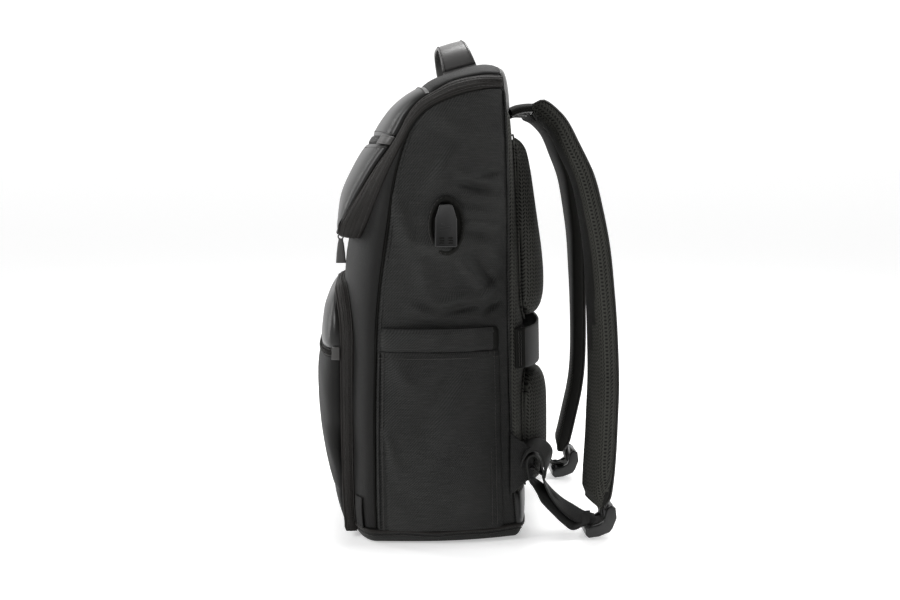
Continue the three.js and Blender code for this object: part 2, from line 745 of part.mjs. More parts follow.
// Round the pocket's rim from its lower right end, 0, over the top to its lower left one, 1.
function pocketRim(share, outwards) {
  const side = pocketHeight - pocketCorner;
  const arc = pocketCorner * Math.PI / 2;
  const top = pocketHalfWidth - pocketCorner;
  const half = (1 - Math.abs(1 - 2 * share)) * (side + arc + top);
  const turn = THREE.MathUtils.clamp((half - side) / pocketCorner, 0, Math.PI / 2);
  const x = top + (pocketCorner + outwards) * Math.cos(turn) - Math.max(half - side - arc, 0);
  const z = pocketBottom + Math.min(half, side) + (pocketCorner + outwards) * Math.sin(turn);
  return { x: share > 0.5 ? -x : x, z };
}

function pocketGussetSurface(s, t) {
  const foot = pocketRim(s, pocketSeamRise * Math.abs(Math.sin(Math.PI * s)));
  const rim = pocketRim(s, 0);
  const seam = new THREE.Vector3(foot.x, frontDepthAt(foot.x, foot.z) - seamGap, foot.z);
  return seam.lerp(new THREE.Vector3(rim.x, pocketRimDepth(rim.z), rim.z), t);
}

const halfPocketZip = pocketZipWidth / 2;
const pocketPanels = [
  { name: 'front_pocket_base', from: pocketBottom, to: pocketBaseHeight, rows: 3, finish: 'coated' },
  { name: 'front_pocket_lower', from: pocketBaseHeight, to: pocketZipHeight - halfPocketZip, rows: 5,
    finish: 'satin' },
  { name: 'front_pocket_zip', from: pocketZipHeight - halfPocketZip, to: pocketZipHeight + halfPocketZip,
    rows: 1, finish: 'dark' },
  { name: 'front_pocket_upper', from: pocketZipHeight + halfPocketZip, to: pocketTop, rows: 5,
    finish: 'satin' },
];
const insidePocket = (point) => new THREE.Vector3(point.x * 0.5, 0, lerp(point.z, pocketHeight / 2, 0.6));
for (const { name, from, to, rows, finish } of pocketPanels) {
  add(name, clothPanel({
    surface: (s, t) => pocketPoint(s * Math.PI, lerp(from, to, t)),
    columns: 16, rows, wall: pocketWall, inside: insidePocket,
    spread: to === pocketTop ? (u) => 1 - (1 - u) ** 2 : undefined,
  }), finish);
}
addPair('front_pocket_zip_tab', clothPanel({
  surface: lifted((s, t) => {
    return pocketPoint(lerp(pocketTabStart, pocketTabEnd, s), pocketZipHeight + (t - 0.5) * pocketTabHeight);
  }, patchLift, insidePocket),
  columns: 3, rows: 1, wall: zipTabWall, inside: insidePocket,
}), 'grey');
addPair('front_pocket_loop', clothPanel({
  surface: lifted((s, t) => {
    return frontPoint(lerp(loopStart, loopEnd, s), loopBottom + t * loopHeight);
  }, patchLift, insideBody),
  columns: 3, rows: 1, wall: zipTabWall, inside: insideBody,
}), 'grey');
add('front_pocket_gusset', clothPanel({
  surface: pocketGussetSurface, columns: 30, rows: 1, wall: pocketWall, inside: insidePocket,
  insets: { top: pocketWall + seamGap, bottom: seamGap },
}), 'dark');

// Side pockets, open at the top, with a folded hem.
const sidePocketBottom = baseSeamHeight + 1;
const sidePocketSeam = sidePocketTop - sidePocketHem;

function sidePocketSurface(from, to, extra) {
  return (s, t) => {
    const z = lerp(from, to, t);
    const up = (z - sidePocketBottom) / (sidePocketTop - sidePocketBottom);
    const y = lerp(wallAt('seam', z) * bodyDepth + sidePocketInset, sidePocketBack + sidePocketTaper * (1 - up), s);
    const swell = sidePocketMouth * Math.sin(Math.PI * s) ** 0.7 * up ** 1.6;
    const point = sideAt(y, z);
    point.x += sidePocketLift + swell + extra;
    return point;
  };
}

addPair('side_pocket', clothPanel({
  surface: sidePocketSurface(sidePocketBottom, sidePocketSeam, 0), columns: 9, rows: 6, wall: clothWall,
  inside: bodyCentre,
}), 'cloth');
addPair('side_pocket_hem', clothPanel({
  surface: sidePocketSurface(sidePocketSeam, sidePocketTop, hemWall - clothWall), columns: 9, rows: 1,
  wall: hemWall, inside: bodyCentre,
}), 'cloth');

// Charging port: a plate on the right side panel and a bullet-shaped housing with slots.
const portPoint = (y, z, lift) => sideAt(y, z).add(new THREE.Vector3(lift, 0, 0));
const portOutside = seamGap + portPlateWall;
add('usb_port_base', clothPanel({
  surface: (s, t) => {
    const angle = s * 2 * Math.PI;
    const reach = 1 - t;
    return portPoint(
      reach * portPlateWidth / 2 * Math.cos(angle), portHeight + reach * portPlateLength / 2 * Math.sin(angle),
      portOutside,
    );
  },
  columns: 20, rows: 2, wall: portPlateWall, inside: bodyCentre, closed: true, insets: { bottom: 0, top: 0 },
}), 'dark');

function extrudedPlate(points, depth, bevel, holes = []) {
  const shape = new THREE.Shape(points.map(([x, y]) => new THREE.Vector2(x, y)));
  for (const hole of holes) shape.holes.push(new THREE.Path(hole.map(([x, y]) => new THREE.Vector2(x, y))));
  return new THREE.ExtrudeGeometry(shape, {
    depth: depth - 2 * bevel, bevelEnabled: bevel > 0, bevelSize: bevel, bevelThickness: bevel,
    bevelOffset: -bevel, bevelSegments: 1,
  }).translate(0, 0, bevel);
}

// Places a flat shape: its own x, y and z turned to three directions, its own origin to a point.
function placed(geometry, xAxis, yAxis, zAxis, origin) {
  const matrix = new THREE.Matrix4().makeBasis(xAxis, yAxis, zAxis).setPosition(origin);
  return geometry.applyMatrix4(matrix);
}

const rectangle = (width, height, x = 0, y = 0) => [
  [x - width / 2, y - height / 2], [x + width / 2, y - height / 2],
  [x + width / 2, y + height / 2], [x - width / 2, y + height / 2],
];

function portHousing() {
  const half = portLength / 2;
  const right = portRows.map(({ across, up }) => [across * portBottomWidth / 2, up * half]);
  const left = right.map(([x, y]) => [-x, y]).reverse();
  let housing = solidOf(extrudedPlate([...right, ...left], portDepth, portBevel));
  for (const column of [-1, 1]) {
    for (const row of [0, 1, 2]) {
      const x = column * portSlotWidth * portSlotSpread;
      const y = portSlotStart * half + row * portSlotHeight;
      const slot = extrudedPlate(rectangle(portSlotWidth, portSlotHeight / 2, x, y), portDepth, 0)
        .translate(0, 0, portDepth - portSlotDepth);
      housing = housing.subtract(solidOf(slot));
    }
  }
  return geometryOf(housing);
}

const portCentre = portPoint(0, portHeight, portOutside + seamGap);
const portAcross = portPoint(portBottomWidth / 2, portHeight, 0)
  .sub(portPoint(-portBottomWidth / 2, portHeight, 0)).normalize();
const portUp = portPoint(0, portHeight + portLength / 2, 0)
  .sub(portPoint(0, portHeight - portLength / 2, 0)).normalize();
const portOut = portAcross.clone().cross(portUp).normalize();
portUp.copy(portOut.clone().cross(portAcross));
add('usb_port_housing', placed(portHousing(), portAcross, portUp, portOut, portCentre), 'plastic');

// Grab handle: a band that stands on the lid and leans to the front.
function lidHeightAt(x, y) {
  let low = 0;
  let high = lidEnd;
  for (let k = 0; k < 40; k += 1) {
    const at = (low + high) / 2;
    const point = lidPointAcross(at, x);
    if (point.y > y) low = at;
    else high = at;
  }
  return lidPointAcross(low, x).z;
}

function lidPointAcross(at, x) {
  const share = Math.min(Math.abs(x) / (follow(lidRows, 'edgeX', at) * bodyHalfWidth), 1);
  return lidPoint(at, Math.acos(share ** (cornerRoundness / 2)));
}

const handleFoot = (side) => {
  const y = handleFootDepth + side * handleWidth / 2;
  return new THREE.Vector3(handleHalfSpan, y, lidHeightAt(handleHalfSpan, y) + handleClearance);
};

function handleMiddle(u) {
  const angle = u * Math.PI;
  const front = handleFoot(-1);
  const back = handleFoot(1);
  const lift = Math.sin(angle) ** handleSquareness;
  const x = Math.sign(Math.cos(angle)) * Math.abs(Math.cos(angle)) ** handleSquareness * handleHalfSpan;
  const foot = front.clone().add(back).multiplyScalar(0.5);
  const middle = new THREE.Vector3(x, foot.y - handleLean * lift, foot.z + handleRise * lift);
  const across = back.sub(front).multiplyScalar(0.5 * lerp(1, handleTopNarrowing, lift));
  return { middle, across };
}

add('grab_handle', band((u) => {
  const { middle, across } = handleMiddle(u);
  const step = 1e-3;
  const ahead = handleMiddle(Math.min(u + step, 1)).middle;
  const behind = handleMiddle(Math.max(u - step, 0)).middle;
  const up = ahead.sub(behind).cross(across).normalize().multiplyScalar(handleWall / 2);
  return { middle, across, up };
}, 16), 'coated');

// Back pads: each a crowned pad on the back panel with rounded corners and a channel down its middle.
function backPad(bottom, top) {
  const columns = 12;
  const rows = Math.round((top - bottom) / 20) + 2;
  const ease = (u) => (1 - Math.cos(Math.PI * u)) / 2;
  const crown = (u) => (1 - Math.abs(2 * u - 1) ** 6) ** 0.5;
  const outer = [];
  const inner = [];
  for (let r = 0; r <= rows; r += 1) {
    const t = ease(r / rows);
    const z = lerp(bottom, top, t);
    const toEnd = Math.min(z - bottom, top - z, padCorner);
    const half = padHalfWidth - padCorner + Math.sqrt(padCorner ** 2 - (padCorner - toEnd) ** 2);
    outer.push([]);
    inner.push([]);
    for (let c = 0; c <= columns; c += 1) {
      const s = ease(c / columns);
      const x = lerp(-half, half, s);
      const channel = 1 - padChannel * Math.exp(-((x / padChannelWidth) ** 2));
      const full = lerp(padThickness, padTopThickness, smooth((z - padTaperFrom) / (upperPadTop - padTaperFrom)));
      const thickness = padEdge + (full - padEdge) * crown(s) * crown(t) * channel;
      outer[r].push(new THREE.Vector3(x, backDepthAt(x, z) + thickness, z));
      inner[r].push(new THREE.Vector3(x, backDepthAt(x, z) + seamGap, z));
    }
  }
  return solidFromGrids(outer, inner);
}

add('back_pad_upper', backPad(upperPadBottom, upperPadTop), 'mesh');
add('back_pad_lower', backPad(lowerPadBottom, lowerPadTop), 'mesh');

const luggageStrapMiddle = (upperPadBottom + lowerPadTop) / 2;
add('luggage_strap', clothPanel({
  surface: (s, t) => {
    const z = luggageStrapMiddle + (t - 0.5) * luggageStrapHeight;
    const { x, out } = corner(lerp(luggageStrapEnd, Math.PI - luggageStrapEnd, s));
    const lift = luggageStrapWall + seamGap + (luggageStrapReach - luggageStrapWall) * out ** 1.5;
    return new THREE.Vector3(backEdgeX * x, backDepthAt(backEdgeX * x, z) + lift, z);
  },
  columns: 16, rows: 1, wall: luggageStrapWall, inside: bodyCentre,
}), 'webbing');

// Shoulder straps.
const across = new THREE.Vector3(1, 0, 0);
const swingShare = (at) => smooth(at / swingIn) * smooth((strapEnd - at) / swingOut);

function strapMiddle(at, swing = 0) {
  return new THREE.Vector3(
    follow(strapRows, 'x', at) * bodyHalfWidth,
    follow(strapRows, 'y', at) * bodyDepth + swing * swingShare(at),
    follow(strapRows, 'z', at) * bodyHeight,
  );
}

function strapPlace(at, halfWidth, halfThickness, swing) {
  const step = 1e-3;
  const along = strapMiddle(at + step, swing).sub(strapMiddle(at - step, swing)).normalize();
  const tilted = new THREE.Vector3(1, strapTilt * smooth((at - tiltFrom) / (tiltTo - tiltFrom)), 0);
  const wide = tilted.addScaledVector(along, -tilted.dot(along)).normalize();
  const up = along.clone().cross(wide).multiplyScalar(halfThickness);
  return { middle: strapMiddle(at, swing), across: wide.multiplyScalar(halfWidth), up };
}

const strapAnchor = (swing) => band((u) => {
  return strapPlace(lerp(0, anchorEnd, u), anchorWidth / 2, anchorThickness / 2, swing);
}, 4);
const shoulderStrap = (swing) => band((u) => {
  const start = anchorEnd + strapGap;
  const at = lerp(start, strapEnd, u);
  const toEnd = Math.min(at - start, strapEnd - at) / strapEndRun;
  const swell = lerp(strapEndSwell, 1, smooth(toEnd));
  const neck = smooth((at - neckAt) / (strapEnd - neckAt));
  return strapPlace(at, lerp(strapWidth, strapNeckWidth, neck) / 2, strapThickness / 2 * swell, swing);
}, 26);
add('strap_anchor_right', strapAnchor(0), 'cloth');
add('strap_anchor_left', mirrored(strapAnchor(leftStrapSwing)), 'cloth');
add('shoulder_strap_right', shoulderStrap(0), 'mesh');
add('shoulder_strap_left', mirrored(shoulderStrap(leftStrapSwing)), 'mesh');

// Ladder lock at the strap's lower end, turned towards the bag by the webbing.
const strapTip = strapMiddle(strapEnd);
const lockAlong = new THREE.Vector3(0, -Math.sin(lockTilt), -Math.cos(lockTilt));
const lockTop = strapTip.clone().add(new THREE.Vector3(0, tailRun, -tailDrop));
const lockSlot = (lockLength - 3 * lockBar) / 2;
const roundedPlate = (width, length, cut) => [
  [-width / 2 + cut, 0], [width / 2 - cut, 0], [width / 2, cut], [width / 2, length - cut],
  [width / 2 - cut, length], [-width / 2 + cut, length], [-width / 2, length - cut], [-width / 2, cut],
];
const lockSlots = [0, 1].map((k) => {
  const start = lockBar + k * (lockSlot + lockBar);
  return rectangle(webbingWidth + 2 * lockClearance, lockSlot, 0, start + lockSlot / 2).reverse();
});
addPair('ladder_lock', placed(
  geometryOf(solidOf(
    extrudedPlate(roundedPlate(lockWidth, lockLength, lockCorner), lockThickness, lockBevel, lockSlots)
      .translate(0, 0, -lockThickness / 2),
  )),
  across, lockAlong, across.clone().cross(lockAlong), lockTop,
), 'plastic');
addPair('strap_tail', band((u) => {
  const start = strapTip.clone().addScaledVector(strapTip.clone().sub(strapMiddle(strapEnd - 1)).normalize(), tailStart);
  const end = lockTop.clone().addScaledVector(lockAlong, -tailOverhang);
  const along = end.clone().sub(start).normalize();
  const up = along.cross(across).normalize().multiplyScalar(tailWall / 2);
  return { middle: start.lerp(end, u), across: across.clone().multiplyScalar(webbingWidth / 2), up };
}, 1), 'webbing');

// Lower anchor: a tab sewn into the rear side seam, and the webbing that hangs from it to the lock.
const tabX = backEdgeX + seamGap + tabWall / 2;
const tabTip = new THREE.Vector3(tabX - tabIn, wallAt('back', tabMiddle) * bodyDepth + tabReach, tabMiddle);
addPair('lower_anchor_tab', band((u) => {
  const seam = wallAt('back', tabMiddle) * bodyDepth + 2 * seamGap;
  const middle = new THREE.Vector3(lerp(tabX, tabTip.x, u), lerp(seam, tabTip.y, u), tabMiddle);
  const half = lerp(tabHeight, webbingWidth, u) / 2;
  return {
    middle, across: new THREE.Vector3(0, 0, half), up: new THREE.Vector3(tabWall / 2, 0, 0),
  };
}, 3, 0.2), 'webbing');

const webbingStart = tabTip.clone().add(new THREE.Vector3(0, seamGap, 0));
const webbingStop = lockTop.clone().addScaledVector(lockAlong, lockLength + seamGap + webbingWall);
const webbingLast = webbingRows.length - 1;
function webbingMiddle(at) {
  return new THREE.Vector3(
    lerp(webbingStart.x, webbingStop.x, follow(webbingRows, 'go', at)),
    lerp(webbingStart.y, webbingStop.y, follow(webbingRows, 'go', at)),
    lerp(webbingStart.z, webbingStop.z, follow(webbingRows, 'drop', at)),
  );
}

addPair('strap_webbing', band((u) => {
  const at = u * webbingLast;
  const step = 1e-3;
  const along = webbingMiddle(Math.min(at + step, webbingLast)).sub(webbingMiddle(Math.max(at - step, 0)));
  along.normalize();
  const level = across.clone().addScaledVector(along, -across.dot(along)).normalize();
  const upright = level.clone().cross(along).normalize();
  const turn = follow(webbingRows, 'twist', at) * Math.PI / 2;
  const wide = level.multiplyScalar(Math.cos(turn)).addScaledVector(upright, Math.sin(turn));
  const up = along.cross(wide).normalize().multiplyScalar(webbingWall / 2);
  return { middle: webbingMiddle(at), across: wide.multiplyScalar(webbingWidth / 2), up };
}, 16, 0.1), 'webbing');

// Zip slider under the lid's front lip, with its pull.
const lip = lidPoint(lidEnd, Math.PI / 2);
const lipSeam = frontPoint(Math.PI / 2, mouthHeight(lidEnd));
const sliderTop = Math.min(lip.z, lipSeam.z, lipHeight);
const sliderMiddle = (lip.y + lipSeam.y) / 2;
add('zip_slider', placed(
  extrudedPlate(rectangle(sliderLength, sliderWidth), sliderHeight, sliderBevel),
  across, new THREE.Vector3(0, 1, 0), new THREE.Vector3(0, 0, 1),
  new THREE.Vector3(pullOffset, sliderMiddle, sliderTop - sliderHeight),
), 'plastic');

function pullShape() {
  const hole = Array.from({ length: 8 }, (_, k) => [
    pullHole / 2 * Math.cos(k * Math.PI / 4), -pullHole + pullHole / 2 * Math.sin(k * Math.PI / 4),
  ]).reverse();
  const right = pullRows.map(({ across, down }) => [across * pullWidth / 2, -down * pullLength]).reverse();
  const left = right.map(([x, y]) => [-x, y]).reverse();
  return extrudedPlate([...right, ...left], pullThickness, pullBevel, [hole]);
}

add('zip_pull', placed(
  pullShape(), new THREE.Vector3(0, 1, 0), new THREE.Vector3(0, 0, 1), across,
  new THREE.Vector3(pullOffset - pullThickness / 2, lip.y + pullSetBack, sliderTop - sliderHeight - pullGap),
), 'plastic');

export default backpack;
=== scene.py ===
"""Laptop backpack: the cloth, seams, zips, pads, straps and buckles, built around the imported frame.

Metres, +Z up, +X the wearer's right side, -Y the front with the lid and pocket, +Y the padded back.
"""

import json
import math

import bmesh
import bpy
import numpy as np
from mathutils import Matrix, Vector

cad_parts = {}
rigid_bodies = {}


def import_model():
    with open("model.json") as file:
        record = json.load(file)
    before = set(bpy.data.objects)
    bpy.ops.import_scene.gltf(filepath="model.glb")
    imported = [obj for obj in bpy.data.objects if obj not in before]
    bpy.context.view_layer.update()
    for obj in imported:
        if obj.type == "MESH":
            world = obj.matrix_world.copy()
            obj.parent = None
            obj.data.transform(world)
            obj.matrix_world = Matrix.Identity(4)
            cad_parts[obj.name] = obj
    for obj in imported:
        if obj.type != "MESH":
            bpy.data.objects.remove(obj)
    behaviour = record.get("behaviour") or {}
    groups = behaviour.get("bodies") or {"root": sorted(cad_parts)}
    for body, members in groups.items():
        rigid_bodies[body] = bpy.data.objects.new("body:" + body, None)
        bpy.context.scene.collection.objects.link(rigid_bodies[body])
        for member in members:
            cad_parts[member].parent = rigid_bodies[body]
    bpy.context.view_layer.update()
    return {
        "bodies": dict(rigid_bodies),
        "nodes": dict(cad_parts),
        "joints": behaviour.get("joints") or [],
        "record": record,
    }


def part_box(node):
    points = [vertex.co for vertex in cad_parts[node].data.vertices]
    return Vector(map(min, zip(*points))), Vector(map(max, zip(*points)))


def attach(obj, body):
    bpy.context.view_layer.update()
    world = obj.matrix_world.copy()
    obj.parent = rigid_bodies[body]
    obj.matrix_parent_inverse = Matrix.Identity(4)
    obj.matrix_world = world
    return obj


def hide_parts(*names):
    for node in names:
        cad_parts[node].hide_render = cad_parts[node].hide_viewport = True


bl_info = {
    "name": "Laptop Backpack",
    "version": (1, 0, 0),
    "blender": (4, 5, 0),
    "location": "View3D > Sidebar > Backpack",
    "description": "Builds the visible pieces of a laptop backpack and its studio",
    "category": "Add Mesh",
}

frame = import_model()

# Driving sizes, the same as the frame's.
HEIGHT = 0.460
HALF_WIDTH = 0.146
DEPTH = 0.180
BASE_SEAM = 0.012
BASE_EDGE = 0.009
ROUNDNESS = 2.4
BACK_EDGE = 0.89 * HALF_WIDTH
SIDE_CROWN = 0.032 * HALF_WIDTH
FULL_SIDE = 0.72 * DEPTH

POCKET_HALF = 0.113
POCKET_BOTTOM = 0.005
POCKET_TOP = 0.241
POCKET_CORNER = 0.046
POCKET_REACH = 0.0025
POCKET_CROWN = 0.024
POCKET_RISE = 0.005
POCKET_ROUNDNESS = 3.0
POCKET_ZIP = 0.181
POCKET_ZIP_WIDTH = 0.007
POCKET_BASE = 0.045

SIDE_POCKET_TOP = 0.209
SIDE_POCKET_HEM = 0.022
SIDE_POCKET_BACK = 0.052
SIDE_POCKET_INSET = 0.003
SIDE_POCKET_LIFT = 0.0022
SIDE_POCKET_MOUTH = 0.007
SIDE_POCKET_TAPER = 0.005

LID_END = 11.0
LID_FOLD = 3.35
LID_ZIP = 6.75
LID_HALF_ZIP = 0.13
EAR_START = 6.5
LIP_ACROSS = 0.42

PAD_HALF = 0.116
PAD_THICK = 0.023
PAD_TOP_THICK = 0.015
PAD_EDGE = 0.005
PAD_CORNER = 0.026
PAD_TAPER_FROM = 0.240
UPPER_PAD = (0.211, 0.391)
LOWER_PAD = (0.044, 0.162)
CHANNEL_DEPTH = 0.55
CHANNEL_WIDTH = 0.012

STRAP_END = 15.0
STRAP_START = 2.02
STRAP_WIDTH = 0.064
STRAP_THICK = 0.016
STRAP_NECK = 0.027
NECK_EXTRA = 0.024
NECK_AT = 13.2
LEFT_SWING = 0.012
SWING_IN = 5.0
SWING_OUT = 3.5
STRAP_TILT = 0.13
TILT_FROM = 5.0
TILT_TO = 12.0
WEBBING_WIDTH = 0.026
PORT_HEIGHT = 0.306
PORT_HALF_WIDTH = 0.017
PORT_HALF_LENGTH = 0.028
LUGGAGE_STRAP_HEIGHT = 0.039
HANDLE_HALF_SPAN = 0.058
HANDLE_RISE = 0.0295
HANDLE_WIDTH = 0.034
HANDLE_LEAN = 0.009
HANDLE_FOOT_DEPTH = 0.020
HANDLE_NARROWING = 0.78
HANDLE_SQUARENESS = 0.6
LOCK_WIDTH = 0.038
LOCK_CHEEK = 0.0048
TAB_MIDDLE = 0.074
TAB_HEIGHT = 0.062
TAB_REACH = 0.019

# The camera that stands where the photo's did, and the lights: place, target, size and power.
EYE = (1.390, -0.06736, 0.37347)
EYE_PITCH = 6.307
EYE_YAW = 3.293
EYE_LENS = 53.2
LIGHTS = (
    ("front strip", (-0.8, -1.6, 0.9), (0, 0, 0.30), (0.25, 1.7), 12),
    ("front rake", (0.70, -1.45, 1.1), (0.1, 0, 0.25), (0.35, 0.8), 18),
    ("top box", (-0.3, 0.2, 1.7), (0, 0, 0.4), (0.9, 0.9), 30),
    ("rear strip", (0.1, 1.7, 0.8), (0, 0.1, 0.35), (0.3, 1.2), 16),
)


def table(columns, *rows):
    """A short table of sections with named columns."""
    return dict(zip(columns.split(), np.array(rows, float).T))


# Heights are shares of the body height; x of the half width and the rest of the depth.
WALL = table(
    "at seam_x seam front back spine",
    (0.026, 0.966, -0.368, -0.520, 0.390, 0.458),
    (0.082, 0.976, -0.371, -0.530, 0.378, 0.466),
    (0.220, 0.980, -0.373, -0.536, 0.357, 0.470),
    (0.450, 0.980, -0.360, -0.536, 0.340, 0.460),
    (0.530, 0.979, -0.343, -0.533, 0.337, 0.450),
    (0.600, 0.975, -0.320, -0.518, 0.336, 0.440),
    (0.674, 0.973, -0.293, -0.478, 0.335, 0.422),
    (0.751, 0.967, -0.266, -0.425, 0.333, 0.405),
    (0.812, 0.962, -0.229, -0.360, 0.328, 0.390),
    (0.861, 0.960, -0.179, -0.290, 0.323, 0.379),
    (0.890, 0.960, -0.122, -0.220, 0.320, 0.372),
    (0.905, 0.960, -0.073, -0.180, 0.317, 0.366),
    (0.918, 0.960, -0.006, -0.120, 0.314, 0.361),
    (0.931, 0.958, 0.085, -0.030, 0.311, 0.353),
    (0.940, 0.948, 0.190, 0.080, 0.308, 0.345),
    (0.944, 0.900, 0.298, 0.190, 0.306, 0.340),
)

# The lid from the top of the back to its front lip, and the body's mouth below its edge.
LID = table(
    "at edge_x edge_y edge_z mid_y mid_z mouth_z wrap",
    (0, 0.890, 0.304, 0.968, 0.298, 1.000, 0.944, 0),
    (1, 0.904, 0.194, 0.968, 0.200, 0.998, 0.940, 0),
    (2, 0.904, 0.050, 0.957, 0.040, 0.980, 0.931, 0),
    (3, 0.904, -0.045, 0.938, -0.066, 0.964, 0.918, 0),
    (4, 0.904, -0.130, 0.917, -0.172, 0.938, 0.902, 0),
    (5, 0.899, -0.191, 0.888, -0.264, 0.907, 0.880, 0),
    (6, 0.890, -0.229, 0.858, -0.330, 0.874, 0.851, 0.01),
    (7, 0.878, -0.275, 0.828, -0.405, 0.829, 0.822, 0.04),
    (8, 0.858, -0.355, 0.785, -0.484, 0.772, 0.778, 0.12),
    (9, 0.838, -0.450, 0.726, -0.541, 0.722, 0.722, 0.23),
    (10, 0.817, -0.541, 0.668, -0.565, 0.668, 0.668, 0.34),
    (11, 0.803, -0.560, 0.646, -0.573, 0.646, 0.640, 0.43),
)

YOKE = table(
    "at edge_y edge_z mid_y mid_z",
    (0, 0.304, 0.968, 0.298, 1.000),
    (0.2, 0.308, 0.957, 0.325, 0.988),
    (0.45, 0.309, 0.940, 0.347, 0.960),
    (1, 0.3192, 0.897, 0.3695, 0.897),
)

POCKET = table(
    "at out",
    (0, -0.02),
    (0.03, 0.06),
    (0.085, 0.26),
    (0.18, 0.49),
    (0.33, 0.78),
    (0.466, 0.94),
    (0.6, 1),
    (0.746, 0.94),
    (0.89, 0.75),
    (0.932, 0.64),
    (0.975, 0.44),
    (1, 0.26),
)

STRAP = table(
    "at x y z",
    (0, 0.40, 0.375, 0.899),
    (1, 0.40, 0.432, 0.907),
    (2, 0.40, 0.506, 0.908),
    (3, 0.42, 0.571, 0.895),
    (4, 0.49, 0.639, 0.863),
    (5, 0.575, 0.697, 0.816),
    (6, 0.64, 0.759, 0.756),
    (7, 0.69, 0.796, 0.688),
    (8, 0.73, 0.825, 0.612),
    (9, 0.76, 0.841, 0.529),
    (10, 0.78, 0.853, 0.445),
    (11, 0.80, 0.860, 0.340),
    (12, 0.81, 0.854, 0.255),
    (13, 0.82, 0.846, 0.186),
    (14, 0.83, 0.832, 0.110),
    (15, 0.83, 0.822, 0.072),
)

# Soft folds of the side panel: a ridge from one point to another (y, z), its width and how far it stands out.
SIDE_FOLDS = table(
    "y0 z0 y1 z1 wide out",
    (0.009, 0.358, 0.047, 0.343, 0.0054, 0.0045),
    (0.015, 0.345, 0.049, 0.338, 0.0036, -0.0041),
    (0.021, 0.334, 0.050, 0.327, 0.0045, 0.0041),
    (0.029, 0.352, 0.051, 0.356, 0.0036, -0.0030),
    (0.008, 0.376, -0.012, 0.341, 0.0072, 0.0034),
    (0.015, 0.320, 0.047, 0.315, 0.0045, 0.0041),
    (0.012, 0.303, 0.044, 0.295, 0.0054, -0.0034),
    (0.023, 0.309, 0.049, 0.306, 0.0036, 0.0030),
    (-0.030, 0.290, 0.010, 0.282, 0.0063, 0.0034),
    (0.015, 0.272, 0.034, 0.248, 0.0054, 0.0047),
    (0.027, 0.279, 0.049, 0.247, 0.0045, -0.0041),
    (0.034, 0.236, 0.051, 0.252, 0.0045, 0.0051),
    (0.038, 0.224, 0.052, 0.234, 0.0036, -0.0041),
    (-0.007, 0.232, 0.025, 0.239, 0.0054, 0.0053),
    (0.000, 0.224, 0.029, 0.230, 0.0036, -0.0041),
    (-0.032, 0.228, -0.005, 0.219, 0.0054, 0.0041),
    (-0.024, 0.272, -0.013, 0.236, 0.0081, 0.0030),
    (-0.046, 0.330, -0.033, 0.283, 0.0081, 0.0027),
    (0.023, 0.395, 0.049, 0.386, 0.0063, 0.0030),
    (-0.005, 0.406, 0.023, 0.390, 0.0081, 0.0023),
    (0.036, 0.292, 0.051, 0.272, 0.0045, 0.0034),
)

POCKET_FOLDS = table(
    "y0 z0 y1 z1 wide out",
    (0.034, 0.176, -0.010, 0.090, 0.0140, 0.0045),
    (0.012, 0.180, -0.020, 0.120, 0.0100, -0.0027),
    (-0.050, 0.178, -0.030, 0.150, 0.0080, 0.0024),
    (0.040, 0.140, 0.020, 0.040, 0.0120, 0.0027),
    (-0.052, 0.060, -0.020, 0.030, 0.0100, -0.0021),
    (-0.056, 0.110, -0.046, 0.070, 0.0060, 0.0024),
)

# Folds of the lid and the front pocket, in the same form.
FRONT_FOLDS = table(
    "y0 z0 y1 z1 wide out",
    (-0.0066, 0.4345, -0.0246, 0.4045, 0.0045, 0.0022),
    (0.0057, 0.4271, -0.0133, 0.3933, 0.0050, -0.0018),
    (-0.0189, 0.4233, -0.0303, 0.4008, 0.0040, -0.0020),
    (-0.0380, 0.3669, -0.0610, 0.3243, 0.0050, 0.0022),
    (-0.0494, 0.3763, -0.0743, 0.3290, 0.0040, -0.0018),
    (-0.0686, 0.3328, -0.0878, 0.3044, 0.0050, 0.0018),
    (-0.0887, 0.2313, -0.0957, 0.2019, 0.0050, 0.0020),
    (-0.1113, 0.1028, -0.0970, 0.0524, 0.0050, 0.0022),
    (-0.1034, 0.1127, -0.0900, 0.0624, 0.0045, -0.0020),
    (0.0247, 0.4384, -0.0038, 0.4308, 0.0040, 0.0018),
    (0.0322, 0.4459, 0.0104, 0.4383, 0.0040, -0.0016),
)

# The webbing at its two edges, and where the lock's frame runs, seen from the side.
WEBBING = table(
    "y0 z0 y1 z1 x",
    (0.0740, 0.0930, 0.0730, 0.0670, 0.124),
    (0.0802, 0.0929, 0.0774, 0.0814, 0.123),
    (0.0893, 0.0939, 0.0841, 0.0867, 0.122),
    (0.0994, 0.0922, 0.0910, 0.0850, 0.121),
    (0.1067, 0.0844, 0.0949, 0.0778, 0.121),
    (0.1064, 0.0751, 0.0967, 0.0686, 0.121),
    (0.1021, 0.0655, 0.0974, 0.0618, 0.121),
    (0.0984, 0.0554, 0.0966, 0.0555, 0.120),
    (0.1060, 0.0440, 0.1035, 0.0400, 0.119),
    (0.1180, 0.0330, 0.1150, 0.0250, 0.118),
    (0.1290, 0.0262, 0.1262, 0.0160, 0.118),
    (0.1400, 0.0195, 0.1388, 0.0120, 0.119),
    (0.1500, 0.0165, 0.1495, 0.0120, 0.120),
)
